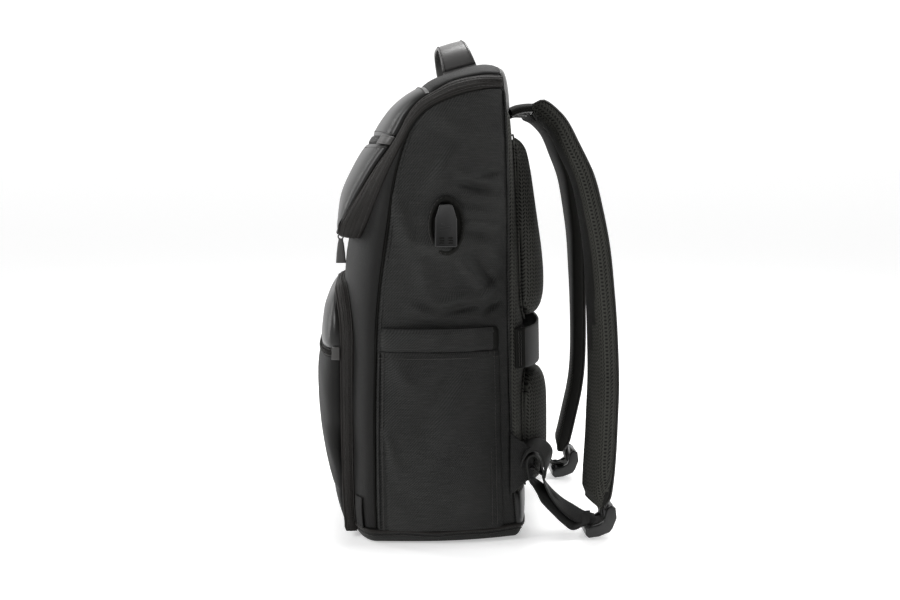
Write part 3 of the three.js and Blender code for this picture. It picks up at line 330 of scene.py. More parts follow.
WEBBING_TAIL = table(
    "y0 z0 y1 z1 x",
    (0.0850, 0.0690, 0.0835, 0.0700, 0.122),
    (0.0880, 0.0672, 0.0868, 0.0690, 0.122),
    (0.0912, 0.0622, 0.0925, 0.0650, 0.122),
    (0.0950, 0.0600, 0.0962, 0.0625, 0.122),
    (0.0962, 0.0660, 0.0945, 0.0700, 0.122),
    (0.0950, 0.0740, 0.0925, 0.0765, 0.122),
    (0.0916, 0.0810, 0.0900, 0.0800, 0.122),
    (0.0864, 0.0850, 0.0868, 0.0822, 0.122),
    (0.0806, 0.0832, 0.0822, 0.0810, 0.122),
    (0.0775, 0.0756, 0.0797, 0.0752, 0.122),
    (0.0787, 0.0661, 0.0810, 0.0650, 0.123),
    (0.0830, 0.0600, 0.0825, 0.0570, 0.124),
    (0.0880, 0.0560, 0.0853, 0.0530, 0.125),
    (0.0974, 0.0500, 0.0895, 0.0455, 0.126),
    (0.1088, 0.0406, 0.0937, 0.0369, 0.127),
    (0.1164, 0.0296, 0.1031, 0.0268, 0.127),
    (0.1266, 0.0196, 0.1139, 0.0162, 0.127),
    (0.1345, 0.0173, 0.1238, 0.0089, 0.126),
    (0.1400, 0.0202, 0.1340, 0.0116, 0.123),
    (0.1460, 0.0200, 0.1420, 0.0140, 0.121),
)
LOCK_FRAME = table(
    "y z",
    (0.1367, 0.0090), (0.1406, 0.0119), (0.1500, 0.0145), (0.1545, 0.0175), (0.1565, 0.0260), (0.1581, 0.0306),
    (0.1620, 0.0331), (0.1659, 0.0305), (0.1671, 0.0205), (0.1633, 0.0106), (0.1604, 0.0066), (0.1496, 0.0024),
    (0.1398, 0.0012), (0.1368, 0.0040),
)
LOCK_BARS = table(
    "y z wide tall",
    (0.1400, 0.0062, 0.0060, 0.0085),
    (0.1530, 0.0095, 0.0060, 0.0060),
    (0.1620, 0.0270, 0.0065, 0.0105),
)


def follow(rows, column, at):
    """A smooth value from a table, through its rows in order of `at`."""
    places, values = rows["at"], rows[column]
    at = np.clip(np.asarray(at, float), places[0], places[-1])
    slopes = np.empty_like(values)
    slopes[1:-1] = (values[2:] - values[:-2]) / (places[2:] - places[:-2])
    slopes[0] = (values[1] - values[0]) / (places[1] - places[0])
    slopes[-1] = (values[-1] - values[-2]) / (places[-1] - places[-2])
    i = np.clip(np.searchsorted(places, at, side="right") - 1, 0, len(places) - 2)
    span = places[i + 1] - places[i]
    u = (at - places[i]) / span
    hold = (1 + 2 * u) * (1 - u) ** 2 * values[i] + u * u * (3 - 2 * u) * values[i + 1]
    return hold + span * u * (1 - u) * ((1 - u) * slopes[i] - u * slopes[i + 1])


def mix(a, b, u):
    """From a to b by the share u; points take the share row by row."""
    if np.ndim(a) > np.ndim(u):
        u = np.asarray(u)[..., None]
    return a + (b - a) * u


def smooth(u):
    u = np.clip(u, 0, 1)
    return u * u * (3 - 2 * u)


def points(x, y, z):
    return np.stack(np.broadcast_arrays(x, y, z), axis=-1).astype(float)


def unit(v):
    return v / np.maximum(np.linalg.norm(v, axis=-1, keepdims=True), 1e-12)


def corner(angle, roundness=ROUNDNESS):
    """The two shares of a rounded corner at an angle from the side, 0, to the middle, a quarter turn."""
    across, along = np.cos(angle), np.sin(angle)
    x = np.sign(across) * np.abs(across) ** (2 / roundness)
    return x, np.abs(along) ** (2 / roundness)


def wall(column, z):
    return follow(WALL, column, z / HEIGHT)


def side_point(share, z):
    front, back = wall("seam", z) * DEPTH, wall("back", z) * DEPTH
    crown = SIDE_CROWN * np.minimum(1, (back - front) / FULL_SIDE)
    x = mix(wall("seam_x", z) * HALF_WIDTH, BACK_EDGE, share**3) + crown * np.sin(np.pi * share)
    return points(x, mix(front, back, share), z)


def side_at(y, z):
    front, back = wall("seam", z) * DEPTH, wall("back", z) * DEPTH
    return side_point(np.clip((y - front) / (back - front), 0, 1), z)


def front_point(angle, z):
    x, out = corner(angle)
    y = mix(wall("seam", z), wall("front", z), out) * DEPTH
    return points(wall("seam_x", z) * HALF_WIDTH * x, y, z)


def back_point(angle, z):
    x, out = corner(angle)
    return points(BACK_EDGE * x, mix(wall("back", z), wall("spine", z), out) * DEPTH, z)


def front_depth(x, z):
    share = np.minimum(np.abs(x) / (wall("seam_x", z) * HALF_WIDTH), 1)
    out = (1 - share**ROUNDNESS) ** (1 / ROUNDNESS)
    return mix(wall("seam", z), wall("front", z), out) * DEPTH


def back_depth(x, z):
    share = np.minimum(np.abs(x) / BACK_EDGE, 1)
    out = (1 - share**ROUNDNESS) ** (1 / ROUNDNESS)
    return mix(wall("back", z), wall("spine", z), out) * DEPTH


def lid_point(at, angle):
    x, out = corner(angle)

    def cut(column):
        return follow(LID, column, at)

    return points(
        cut("edge_x") * HALF_WIDTH * x,
        mix(cut("edge_y"), cut("mid_y"), out) * DEPTH,
        mix(cut("edge_z"), cut("mid_z"), out) * HEIGHT,
    )


def mouth_angle(at):
    return np.maximum(follow(LID, "wrap", at), 0) * np.pi / 2


def mouth_height(at):
    return follow(LID, "mouth_z", at) * HEIGHT


def round_mouth(share):
    """Round the mouth from the right ear to the left: how far down the lid, across it, and the side."""
    half = 1 - np.abs(1 - 2 * share)
    lip = 1 - LIP_ACROSS
    side = np.where(share > 0.5, -1.0, 1.0)
    return np.minimum(half / lip, 1), np.maximum((half - lip) / LIP_ACROSS, 0), side


def sided(place, side):
    place = place.copy()
    place[..., 0] *= side
    return place


def front_panel_surface(s, t):
    down, across, side = round_mouth(s)
    at = mix(EAR_START, LID_END, down)
    angle = mix(mouth_angle(at), np.pi / 2, across)
    return sided(front_point(angle, mix(BASE_SEAM, mouth_height(at), t)), side)


def gusset_surface(s, t):
    down, across, side = round_mouth(s)
    at = LID_END * down
    upper = lid_point(at, across * np.pi / 2)
    lower = front_point(mix(mouth_angle(at), np.pi / 2, across), mouth_height(at))
    return sided(mix(lower, upper, t), side)


def yoke_surface(s, t):
    x, out = corner(s * np.pi)

    def cut(column):
        return follow(YOKE, column, 1 - t)

    y = mix(cut("edge_y"), cut("mid_y"), out) * DEPTH
    return points(BACK_EDGE * x, y, mix(cut("edge_z"), cut("mid_z"), out) * HEIGHT)


def foot_point(share):
    """The outline of the body's foot, all the way round."""
    turn = np.mod(share, 1.0) * 4
    quarter = np.minimum(turn.astype(int), 3)
    along = turn - quarter
    front = front_point(along * np.pi, BASE_SEAM + 0 * along)
    back = back_point(np.pi * (1 - along), BASE_SEAM + 0 * along)
    left = sided(side_point(along, BASE_SEAM + 0 * along), -1)
    right = side_point(1 - along, BASE_SEAM + 0 * along)
    choice = quarter[..., None]
    return np.where(choice == 0, front, np.where(choice == 1, left, np.where(choice == 2, back, right)))


def base_surface(s, t):
    foot = foot_point(s)
    roll = np.minimum(t / 0.5, 1) * np.pi / 2
    draw = BASE_EDGE * (1 - np.cos(roll))
    shrink = (1 - draw / np.hypot(foot[..., 0], foot[..., 1])) * (1 - np.maximum(t - 0.5, 0) / 0.5)
    return points(foot[..., 0] * shrink, foot[..., 1] * shrink, BASE_SEAM * (1 - np.sin(roll)))


def pocket_back(z):
    return wall("front", z) * DEPTH - POCKET_REACH


def pocket_rim_depth(z):
    into = np.clip((z - POCKET_TOP + POCKET_CORNER) / POCKET_CORNER, 0, 1)
    return pocket_back(z) - POCKET_CROWN * POCKET["out"][-1] * into**2


def pocket_point(angle, z):
    x, out = corner(angle, POCKET_ROUNDNESS)
    into = np.maximum(z - POCKET_TOP + POCKET_CORNER, 0)
    half = POCKET_HALF - POCKET_CORNER + np.sqrt(np.maximum(POCKET_CORNER**2 - into**2, 0))
    rise = follow(POCKET, "out", (z - POCKET_BOTTOM) / (POCKET_TOP - POCKET_BOTTOM))
    return points(half * x, mix(pocket_rim_depth(z), pocket_back(z) - POCKET_CROWN * rise, out), z)


def pocket_rim(share, outwards):
    side = POCKET_TOP - POCKET_BOTTOM - POCKET_CORNER
    arc = POCKET_CORNER * np.pi / 2
    top = POCKET_HALF - POCKET_CORNER
    half = (1 - np.abs(1 - 2 * share)) * (side + arc + top)
    turn = np.clip((half - side) / POCKET_CORNER, 0, np.pi / 2)
    x = top + (POCKET_CORNER + outwards) * np.cos(turn) - np.maximum(half - side - arc, 0)
    z = POCKET_BOTTOM + np.minimum(half, side) + (POCKET_CORNER + outwards) * np.sin(turn)
    return np.where(share > 0.5, -x, x), z


def pocket_gusset_surface(s, t):
    foot_x, foot_z = pocket_rim(s, POCKET_RISE * np.abs(np.sin(np.pi * s)))
    rim_x, rim_z = pocket_rim(s, 0)
    foot = points(foot_x, front_depth(foot_x, foot_z), foot_z)
    return mix(foot, points(rim_x, pocket_rim_depth(rim_z), rim_z), t)


def side_pocket_surface(low, high, extra=0.0):
    bottom = BASE_SEAM + 0.001

    def surface(s, t):
        z = mix(low, high, t)
        up = (z - bottom) / (SIDE_POCKET_TOP - bottom)
        front = wall("seam", z) * DEPTH + SIDE_POCKET_INSET
        place = side_at(mix(front, SIDE_POCKET_BACK + SIDE_POCKET_TAPER * (1 - up), s), z)
        swell = SIDE_POCKET_MOUTH * np.sin(np.pi * s) ** 0.7 * np.maximum(up, 0) ** 1.6
        place[..., 0] += SIDE_POCKET_LIFT + swell + extra
        return place

    return surface


def strap_middle(at, swing=0.0):
    share = smooth(at / SWING_IN) * smooth((STRAP_END - at) / SWING_OUT)
    return points(
        follow(STRAP, "x", at) * HALF_WIDTH,
        follow(STRAP, "y", at) * DEPTH + swing * share,
        follow(STRAP, "z", at) * HEIGHT,
    )


def strap_axes(at, swing=0.0):
    """Along, across and outwards at a place on the strap."""
    step = 1e-3
    along = unit(strap_middle(at + step, swing) - strap_middle(at - step, swing))
    tilt = STRAP_TILT * smooth((at - TILT_FROM) / (TILT_TO - TILT_FROM))
    tilted = points(1.0, tilt, 0.0)
    across = unit(tilted - along * np.sum(tilted * along, axis=-1, keepdims=True))
    return along, across, np.cross(along, across)


# Mesh helpers.
def grid_mesh(name, surface, columns, rows, inside=None, relief=None, closed=False, spread=None):
    """A grid of quads laid on a surface, its normals away from the inside point, its UV in metres."""
    bm = bmesh.new()
    bmesh.ops.create_grid(bm, x_segments=columns, y_segments=rows, size=0.5, calc_uvs=False)
    bm.loops.layers.uv.new("cloth")
    mesh = bpy.data.meshes.new(name)
    bm.to_mesh(mesh)
    bm.free()
    count = len(mesh.vertices)
    flat = np.empty(count * 3)
    mesh.vertices.foreach_get("co", flat)
    flat = flat.reshape(-1, 3)
    wide, tall = np.ptp(flat[:, 0]), np.ptp(flat[:, 1])
    c = np.rint((flat[:, 0] - flat[:, 0].min()) / wide * columns).astype(int)
    r = np.rint((flat[:, 1] - flat[:, 1].min()) / tall * rows).astype(int)
    along = np.linspace(0, 1, rows + 1)
    s, t = np.meshgrid(np.linspace(0, 1, columns + 1), spread(along) if spread else along)
    place = surface(s, t)
    if closed:
        place[:, -1] = place[:, 0]
    step_s, step_t = np.gradient(place, axis=1), np.gradient(place, axis=0)
    if closed:
        step_s[:, 0] = step_s[:, -1] = (place[:, 1] - place[:, -2]) / 2
    normal = unit(np.cross(step_s, step_t))
    flip = inside is not None and np.sum(normal * (place - inside(place))) < 0
    if flip:
        normal = -normal
    zero = np.zeros((rows + 1, 1))
    u = np.hstack([zero, np.cumsum(np.linalg.norm(np.diff(place, axis=1), axis=-1), axis=1)])
    v = np.vstack([zero[:1].repeat(columns + 1, axis=1),
                   np.cumsum(np.linalg.norm(np.diff(place, axis=0), axis=-1), axis=0)])
    if relief:
        place = place + normal * relief(s, t, u, v, place)[..., None]
    if closed:
        place[:, -1] = place[:, 0]
    mesh.vertices.foreach_set("co", place[r, c].ravel())
    corners = np.empty(len(mesh.loops), int)
    mesh.loops.foreach_get("vertex_index", corners)
    uv = np.stack([u[r, c] - u[r].max(axis=1) / 2, v[r, c]], axis=-1)[corners]
    mesh.uv_layers["cloth"].data.foreach_set("uv", uv.ravel().astype(np.float32))
    mesh.update()
    if flip:
        mesh.flip_normals()
    return mesh


def tube_mesh(name, line, radius, sides=8, closed=False, lift=None):
    """A round cord along a line of points, closed at its ends."""
    line = np.asarray(line, float)
    steps = len(line) - 1
    ahead = np.gradient(line, axis=0)
    if closed:
        ahead[0] = ahead[-1] = line[1] - line[-2]
    along = unit(ahead)
    start = np.cross(along[0], (0, 0, 1)) if abs(along[0, 2]) < 0.9 else np.cross(along[0], (1, 0, 0))
    across = [start / np.linalg.norm(start)]
    for way in along[1:]:
        kept = across[-1] - way * np.dot(across[-1], way)
        across.append(kept / np.linalg.norm(kept))
    across = np.array(across)
    up = np.cross(across, along)
    size = np.broadcast_to(radius, (steps + 1,)).astype(float).copy()
    if not closed:
        size[0] = size[-1] = 0

    def surface(s, t):
        k = np.rint(t * steps).astype(int)
        turn = 2 * np.pi * s[..., None]
        return line[k] + size[k][..., None] * (across[k] * np.cos(turn) + up[k] * np.sin(turn))

    def inside(place):
        return np.broadcast_to(line[:, None, :], place.shape)

    return grid_mesh(name, surface, sides, steps, inside, closed=True)


def resample(line, step):
    """The same line with points at even steps."""
    line = np.asarray(line, float)
    length = np.concatenate([[0], np.cumsum(np.linalg.norm(np.diff(line, axis=0), axis=1))])
    count = max(int(round(length[-1] / step)), 2)
    at = np.linspace(0, length[-1], count + 1)
    return np.stack([np.interp(at, length, line[:, k]) for k in range(3)], axis=1)


def smooth_line(knots, count=48):
    """A smooth line through a few knots."""
    knots = np.asarray(knots, float)
    rows = {"at": np.arange(len(knots), dtype=float)}
    for k, axis in enumerate("xyz"):
        rows[axis] = knots[:, k]
    at = np.linspace(0, len(knots) - 1, count + 1)
    return points(follow(rows, "x", at), follow(rows, "y", at), follow(rows, "z", at))


def thread_mesh(name, line, outward, pitch, radius):
    """A sewing thread that rises out of the cloth and dips back into it at every stitch."""
    even = resample(line, pitch / 6)
    out = resample_like(outward, line, even)
    turn = np.arange(len(even)) * 2 * np.pi / 6
    even = even + out * (radius * (0.9 * np.cos(turn) - 0.15))[:, None]
    return tube_mesh(name, even, radius, sides=4)


def resample_like(values, line, even):
    """Unit vectors given at a line's points, carried over to its even copy."""
    line = np.asarray(line, float)
    values = np.broadcast_to(np.asarray(values, float), line.shape)
    length = np.concatenate([[0], np.cumsum(np.linalg.norm(np.diff(line, axis=0), axis=1))])
    at = np.linspace(0, length[-1], len(even))
    return unit(np.stack([np.interp(at, length, values[:, k]) for k in range(3)], axis=1))


def coil_mesh(name, line, outward, across_width, pitch, radius, height):
    """The coil of a zip: a flattened spiral along the line."""
    even = resample(line, pitch / 8)
    out = resample_like(outward, line, even)
    along = unit(np.gradient(even, axis=0))
    across = unit(np.cross(along, out))
    turn = np.arange(len(even)) * 2 * np.pi / 8
    even = even + across * (across_width / 2 * np.cos(turn))[:, None] + out * (height * np.sin(turn))[:, None]
    return tube_mesh(name, even, radius, sides=4)


def surface_line(surface, s, t, lift=0.0, inside=None):
    """Points along a surface and its outward normals there."""
    s, t = np.broadcast_arrays(np.asarray(s, float), np.asarray(t, float))
    step = 1e-3
    along_s = surface(np.minimum(s + step, 1), t) - surface(np.maximum(s - step, 0), t)
    along_t = surface(s, np.minimum(t + step, 1)) - surface(s, np.maximum(t - step, 0))
    normal = unit(np.cross(along_s, along_t))
    place = surface(s, t)
    middle = (inside or inside_body)(place)
    normal = np.where(np.sum(normal * (place - middle), axis=-1, keepdims=True) < 0, -normal, normal)
    return place + normal * lift, normal


def band_mesh(name, middle, across, outward, half_width, half_thick, sides=24, roundness=4.0, dome=0.0):
    """A closed band along a line of middles; every measure may change along it."""
    steps = len(middle) - 1
    half_width = np.broadcast_to(half_width, (steps + 1,)).astype(float)
    half_thick = np.broadcast_to(half_thick, (steps + 1,)).astype(float)

    def surface(s, t):
        k = np.rint(t * steps).astype(int)
        turn = 2 * np.pi * s
        a = np.sign(np.cos(turn)) * np.abs(np.cos(turn)) ** (2 / roundness)
        b = np.sign(np.sin(turn)) * np.abs(np.sin(turn)) ** (2 / roundness)
        b = b * (1 + dome * (1 - a**2))
        wide = across[k] * (a * half_width[k])[..., None]
        return middle[k] + wide + outward[k] * (b * half_thick[k])[..., None]

    def inside(place):
        return np.broadcast_to(middle[:, None, :], place.shape)

    return grid_mesh(name, surface, sides, steps, inside, closed=True)


def ribbon_mesh(name, rows, side, count=140, thick=0.0009):
    """Webbing of a constant width, laid through a table of the heights and depths of its two edges."""
    knots = len(rows["x"])
    at = np.linspace(0, knots - 1, count + 1)
    rows = {"at": np.arange(knots, dtype=float), **rows}
    y0, z0, y1, z1, x = (follow(rows, name, at) for name in ("y0", "z0", "y1", "z1", "x"))
    reach = np.sqrt(np.maximum(WEBBING_WIDTH**2 - (y1 - y0) ** 2 - (z1 - z0) ** 2, 0)) / 2
    first, last = points(x - reach, y0, z0), points(x + reach, y1, z1)
    middle, across = sided((first + last) / 2, side), unit(sided(last - first, side))
    along = unit(np.gradient(middle, axis=0))
    outward = unit(np.cross(along, across))
    return band_mesh(name, middle, across, outward, WEBBING_WIDTH / 2, thick, 12, 8.0)


def mesh_from(bm, name):
    """Turns a bmesh into a mesh and lets it go."""
    mesh = bpy.data.meshes.new(name)
    bm.to_mesh(mesh)
    bm.free()
    return mesh


def joined(name, meshes):
    """One mesh out of several, with coinciding points merged."""
    bm = bmesh.new()
    for mesh in meshes:
        bm.from_mesh(mesh)
        bpy.data.meshes.remove(mesh)
    bmesh.ops.remove_doubles(bm, verts=bm.verts, dist=1e-7)
    bmesh.ops.dissolve_degenerate(bm, dist=1e-7, edges=bm.edges)
    whole = bpy.data.meshes.new(name)
    bm.to_mesh(whole)
    bm.free()
    return whole


def rounded(bm, edges, offset, segments=3):
    bmesh.ops.bevel(bm, geom=edges, offset=offset, segments=segments, profile=0.5, affect="EDGES", material=-1)


def shaped_box(bm, size, place, bevel=0.0006, segments=2):
    """A box with rounded edges, put in place by a matrix."""
    made = bmesh.ops.create_cube(bm, size=1.0)
    verts = made["verts"]
    bmesh.ops.scale(bm, vec=size, verts=verts)
    edges = list({edge for vert in verts for edge in vert.link_edges})
    cut = bmesh.ops.bevel(bm, geom=edges, offset=bevel, segments=segments, profile=0.5, affect="EDGES",
                          material=-1)
    verts = list({vert for face in cut["faces"] for vert in face.verts} | {v for v in verts if v.is_valid})
    bmesh.ops.transform(bm, matrix=place, verts=verts)
    return verts


def axes_matrix(x_axis, y_axis, z_axis, origin):
    matrix = Matrix([list(x_axis), list(y_axis), list(z_axis)]).transposed().to_4x4()
    matrix.translation = Vector(origin)
    return matrix


def inside_body(place):
    return points(0.0, 0.0, np.minimum(place[..., 2], 0.8 * HEIGHT))


def inside_pocket(place):
    return points(place[..., 0] * 0.5, 0.0, mix(place[..., 2], 0.118, 0.6))


def dress(name, mesh, finish, nodes=(), wall_thickness=0.0, flat=False):
    """A finished piece: shaded smooth, with its material, riding on the bag."""
    mesh.name = name
    piece = bpy.data.objects.new(name, mesh)
    bpy.context.scene.collection.objects.link(piece)
    if not flat:
        mesh.shade_smooth()
    mesh.materials.append(bpy.data.materials[finish + " finish"])
    if wall_thickness:
        shell = piece.modifiers.new("wall", "SOLIDIFY")
        shell.thickness = wall_thickness
        shell.offset = -1
    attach(piece, "root")
    if nodes:
        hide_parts(*nodes)
    return piece


def ripple(place, size, seed):
    """A gentle unevenness, the same at every run."""
    total = 0
    for k in range(4):
        turn = seed * 1.7 + k * 2.399
        way = np.array([math.cos(turn), math.sin(turn * 1.3), math.sin(turn + 0.8)])
        total = total + np.sin(place @ way * (2 * np.pi / size) * (1 + 0.31 * k) + seed + k * 1.9)
    return total / 4


def folds(rows, y, z):
    """How far a table of soft ridges lifts the cloth at a place."""
    total = np.zeros(np.shape(y))
    for k in range(len(rows["y0"])):
        row = {name: values[k] for name, values in rows.items()}
        dy, dz = row["y1"] - row["y0"], row["z1"] - row["z0"]
        along = ((y - row["y0"]) * dy + (z - row["z0"]) * dz) / (dy**2 + dz**2)
        along = np.clip(along, 0, 1)
        away = np.hypot(y - row["y0"] - along * dy, z - row["z0"] - along * dz)
        fade = np.sin(np.pi * (0.15 + 0.7 * along))
        total += row["out"] * fade * np.exp(-((away / row["wide"]) ** 2))
    return total


def edge_distances(u, v):
    left, right = u - u.min(axis=1, keepdims=True), u.max(axis=1, keepdims=True) - u
    low, high = v - v.min(axis=0, keepdims=True), v.max(axis=0, keepdims=True) - v
    return {"left": left, "right": right, "low": low, "high": high}


def sewn(puff=0.0, spread=0.02, dip=0.0012, reach=0.003, sides="left right low high", extra=None):
    """Cloth that fills out between its seams and is drawn down along them."""

    def relief(s, t, u, v, place):
        away = edge_distances(u, v)
        full, down = 1.0, 0.0
        for side in sides.split():
            full = full * (1 - np.exp(-away[side] / spread))
            down = down + np.exp(-((away[side] / reach) ** 2))
        total = puff * full - dip * down
        if extra:
            total = total + extra(s, t, place)
        return total

    return relief


# Materials.
def add_node(tree, kind, inputs=None, **settings):
    node = tree.nodes.new(kind)
    for name, value in settings.items():
        setattr(node, name, value)
    for name, value in (inputs or {}).items():
        if isinstance(value, bpy.types.NodeSocket):
            tree.links.new(value, node.inputs[name])
        else:
            node.inputs[name].default_value = value
    return node


def new_group(name, inputs, outputs):
    tree = bpy.data.node_groups.new(name, "ShaderNodeTree")
    for label, value in inputs.items():
        kind = "NodeSocketVector" if isinstance(value, tuple) else "NodeSocketFloat"
        socket = tree.interface.new_socket(name=label, in_out="INPUT", socket_type=kind)
        socket.default_value = value
    for label in outputs:
        tree.interface.new_socket(name=label, in_out="OUTPUT", socket_type="NodeSocketFloat")
    return tree, tree.nodes.new("NodeGroupInput"), tree.nodes.new("NodeGroupOutput")


def sums(tree, operation, a, b=None, c=None, clamp=False):
    """One Math node; numbers or sockets in, its value out."""
    node = tree.nodes.new("ShaderNodeMath")
    node.operation = operation
    node.use_clamp = clamp
    for k, value in enumerate((a, b, c)):
        if isinstance(value, bpy.types.NodeSocket):
            tree.links.new(value, node.inputs[k])
        elif value is not None:
            node.inputs[k].default_value = value
    return node.outputs[0]


def noise(tree, vector, scale, detail):
    return add_node(tree, "ShaderNodeTexNoise", {"Vector": vector, "Scale": scale, "Detail": detail})


def ranged(tree, value, low, high, to_low=0.0, to_high=1.0):
    """The value mapped from low..high to to_low..to_high."""
    given = {"Value": value, "From Min": low, "From Max": high, "To Min": to_low, "To Max": to_high}
    return add_node(tree, "ShaderNodeMapRange", given)


def times(tree, a, b):
    return sums(tree, "MULTIPLY", a, b)


def plus(tree, a, b, clamp=False):
    return sums(tree, "ADD", a, b, clamp=clamp)


def stripes(tree, across, per_metre):
    """0 to 1 stripes of a coordinate."""
    turn = times(tree, across, per_metre)
    turn = times(tree, turn, 2 * math.pi)
    return sums(tree, "MULTIPLY_ADD", sums(tree, "SINE", turn), 0.5, 0.5)


def weave_group():
    """Twill cloth: diagonal ribs with thicker threads here and there."""
    inputs = {"Vector": (0, 0, 0), "Ribs": 900.0, "Slubs": 0.5}
    tree, given, out = new_group("twill", inputs, ("Tone", "Height"))
    split = add_node(tree, "ShaderNodeSeparateXYZ", {0: given.outputs["Vector"]})
    x, y = split.outputs[0], split.outputs[1]
    ribs = stripes(tree, plus(tree, x, times(tree, y, 0.8)), given.outputs["Ribs"])
    warp = stripes(tree, x, times(tree, given.outputs["Ribs"], 1.9))
    stretched = add_node(tree, "ShaderNodeVectorMath", {0: given.outputs["Vector"], 1: (50, 1300, 50)},
                         operation="MULTIPLY")
    slub = noise(tree, stretched.outputs[0], 1.0, 2.0)
    thick = ranged(tree, slub.outputs[0], 0.42, 0.72)
    tone = sums(tree, "MULTIPLY_ADD", ribs, 0.45, times(tree, warp, 0.15))
    tone = plus(tree, tone, times(tree, thick.outputs[0], given.outputs["Slubs"]), clamp=True)
    tree.links.new(tone, out.inputs["Tone"])
    tree.links.new(sums(tree, "MULTIPLY_ADD", ribs, 0.6, times(tree, warp, 0.3)), out.inputs["Height"])
    return tree


def mesh_group():
    """Spacer mesh: columns of slanted slots that lean left and right in turn."""
    tree, given, out = new_group(
        "spacer_mesh", {"Vector": (0, 0, 0), "Rows": 345.0, "Columns": 300.0, "Lean": 0.8, "Hole": 0.5},
        ("Hole", "Height"))
    split = add_node(tree, "ShaderNodeSeparateXYZ", {0: given.outputs["Vector"]})
    across = times(tree, split.outputs[0], given.outputs["Columns"])
    zigzag = sums(tree, "PINGPONG", across, 1.0)
    along = times(tree, split.outputs[1], given.outputs["Rows"])
    slots = stripes(tree, plus(tree, along, times(tree, zigzag, given.outputs["Lean"])), 1.0)
    inward = sums(tree, "SUBTRACT", 1.0, sums(tree, "ABSOLUTE", sums(tree, "MULTIPLY_ADD", zigzag, 2.0, -1.0)))
    column = ranged(tree, inward, 0.08, 0.55)
    both = times(tree, slots, column.outputs[0])
    edge = plus(tree, given.outputs["Hole"], 0.2)
    hole = ranged(tree, both, given.outputs["Hole"], edge)
    tree.links.new(hole.outputs[0], out.inputs["Hole"])
    tree.links.new(sums(tree, "SUBTRACT", 1.0, hole.outputs[0]), out.inputs["Height"])
    return tree


def grain_group():
    """Fine pebbled grain of coated cloth, with a little unevenness."""
    tree, given, out = new_group("grain", {"Vector": (0, 0, 0), "Pebbles": 900.0}, ("Tone", "Height"))
    inputs = {"Vector": given.outputs["Vector"], "Scale": given.outputs["Pebbles"]}
    cells = add_node(tree, "ShaderNodeTexVoronoi", inputs,
                     feature="F1")
    broad = noise(tree, given.outputs["Vector"], 34.0, 3.0)
    tree.links.new(broad.outputs[0], out.inputs["Tone"])
    tree.links.new(cells.outputs[0], out.inputs["Height"])
    return tree


def rib_group():
    """Webbing: ribs along its length, crossed by fine picks."""
    inputs = {"Vector": (0, 0, 0), "Ribs": 600.0, "Picks": 900.0}
    tree, given, out = new_group("ribs", inputs, ("Tone", "Height"))
    split = add_node(tree, "ShaderNodeSeparateXYZ", {0: given.outputs["Vector"]})
    ribs = stripes(tree, split.outputs[0], given.outputs["Ribs"])
    picks = stripes(tree, split.outputs[1], given.outputs["Picks"])
    both = sums(tree, "MULTIPLY_ADD", ribs, 0.6, times(tree, picks, 0.4))
    tree.links.new(both, out.inputs["Tone"])
    tree.links.new(both, out.inputs["Height"])
    return tree


def wear_and_painted_light_group():
    """Slow changes of tone and gloss over a surface, from handling and dust; the broad tone is also painted
    highlight and shade in soft patches.
    """
    tree, given, out = new_group("handling", {"Vector": (0, 0, 0), "Size": 9.0}, ("Tone", "Fine"))
    broad = noise(tree, given.outputs["Vector"], given.outputs["Size"], 4.0)
    fine = noise(tree, given.outputs["Vector"], 700.0, 1.0)
    tree.links.new(broad.outputs[0], out.inputs["Tone"])
    tree.links.new(fine.outputs[0], out.inputs["Fine"])
    return tree


def finish_material(name, low, high, pattern, roughness, gloss=0.3, sheen=0.0, depth=0.0003,
                    strength=0.5, wrapped=False, **inputs):
    """A finish: two tones mixed by a pattern, with wear on its gloss and the pattern's relief."""
    material = bpy.data.materials.new(name + " finish")
    material.use_nodes = True
    tree = material.node_tree
    shader = tree.nodes["Principled BSDF"]
    place = add_node(tree, "ShaderNodeTexCoord")
    made = add_node(tree, "ShaderNodeGroup", node_tree=bpy.data.node_groups[pattern])
    if wrapped:
        split = add_node(tree, "ShaderNodeSeparateXYZ", {0: place.outputs["Object"]})
        across = sums(tree, "SUBTRACT", sums(tree, "ABSOLUTE", split.outputs[0]), split.outputs[1])
        flat = add_node(tree, "ShaderNodeCombineXYZ", {0: across, 1: split.outputs[2]})
        tree.links.new(flat.outputs[0], made.inputs["Vector"])
    else:
        tree.links.new(place.outputs["UV"], made.inputs["Vector"])
    for label, value in inputs.items():
        made.inputs[label.capitalize()].default_value = value
    wear_and_light = add_node(tree, "ShaderNodeGroup", node_tree=bpy.data.node_groups["handling"])
    tree.links.new(place.outputs["Object"], wear_and_light.inputs["Vector"])
    tone = sums(tree, "MULTIPLY_ADD", made.outputs[0], 0.75, times(tree, wear_and_light.outputs["Fine"], 0.25))
    # The broad wear tone is added to the colour: real wear, and painted highlight and shade in soft patches.
    tone = plus(tree, tone, sums(tree, "MULTIPLY_ADD", wear_and_light.outputs["Tone"], 1.0, -0.5), clamp=True)
    colour = add_node(tree, "ShaderNodeMix", {}, data_type="RGBA")
    tree.links.new(tone, colour.inputs[0])
    colour.inputs[6].default_value, colour.inputs[7].default_value = (*low, 1), (*high, 1)
    tree.links.new(colour.outputs[2], shader.inputs["Base Color"])
    rough = ranged(tree, wear_and_light.outputs["Tone"], 0.3, 0.7, roughness - 0.05, roughness + 0.05)
    tree.links.new(rough.outputs[0], shader.inputs["Roughness"])
    shader.inputs["Specular IOR Level"].default_value = gloss
    bump = add_node(tree, "ShaderNodeBump", {"Strength": strength, "Distance": depth,
                                             "Height": made.outputs["Height"]})
    tree.links.new(bump.outputs[0], shader.inputs["Normal"])
    shader.inputs["Sheen Weight"].default_value = sheen
    shader.inputs["Sheen Roughness"].default_value = 0.4
    shader.inputs["Sheen Tint"].default_value = (0.75, 0.74, 0.73, 1)
    return material


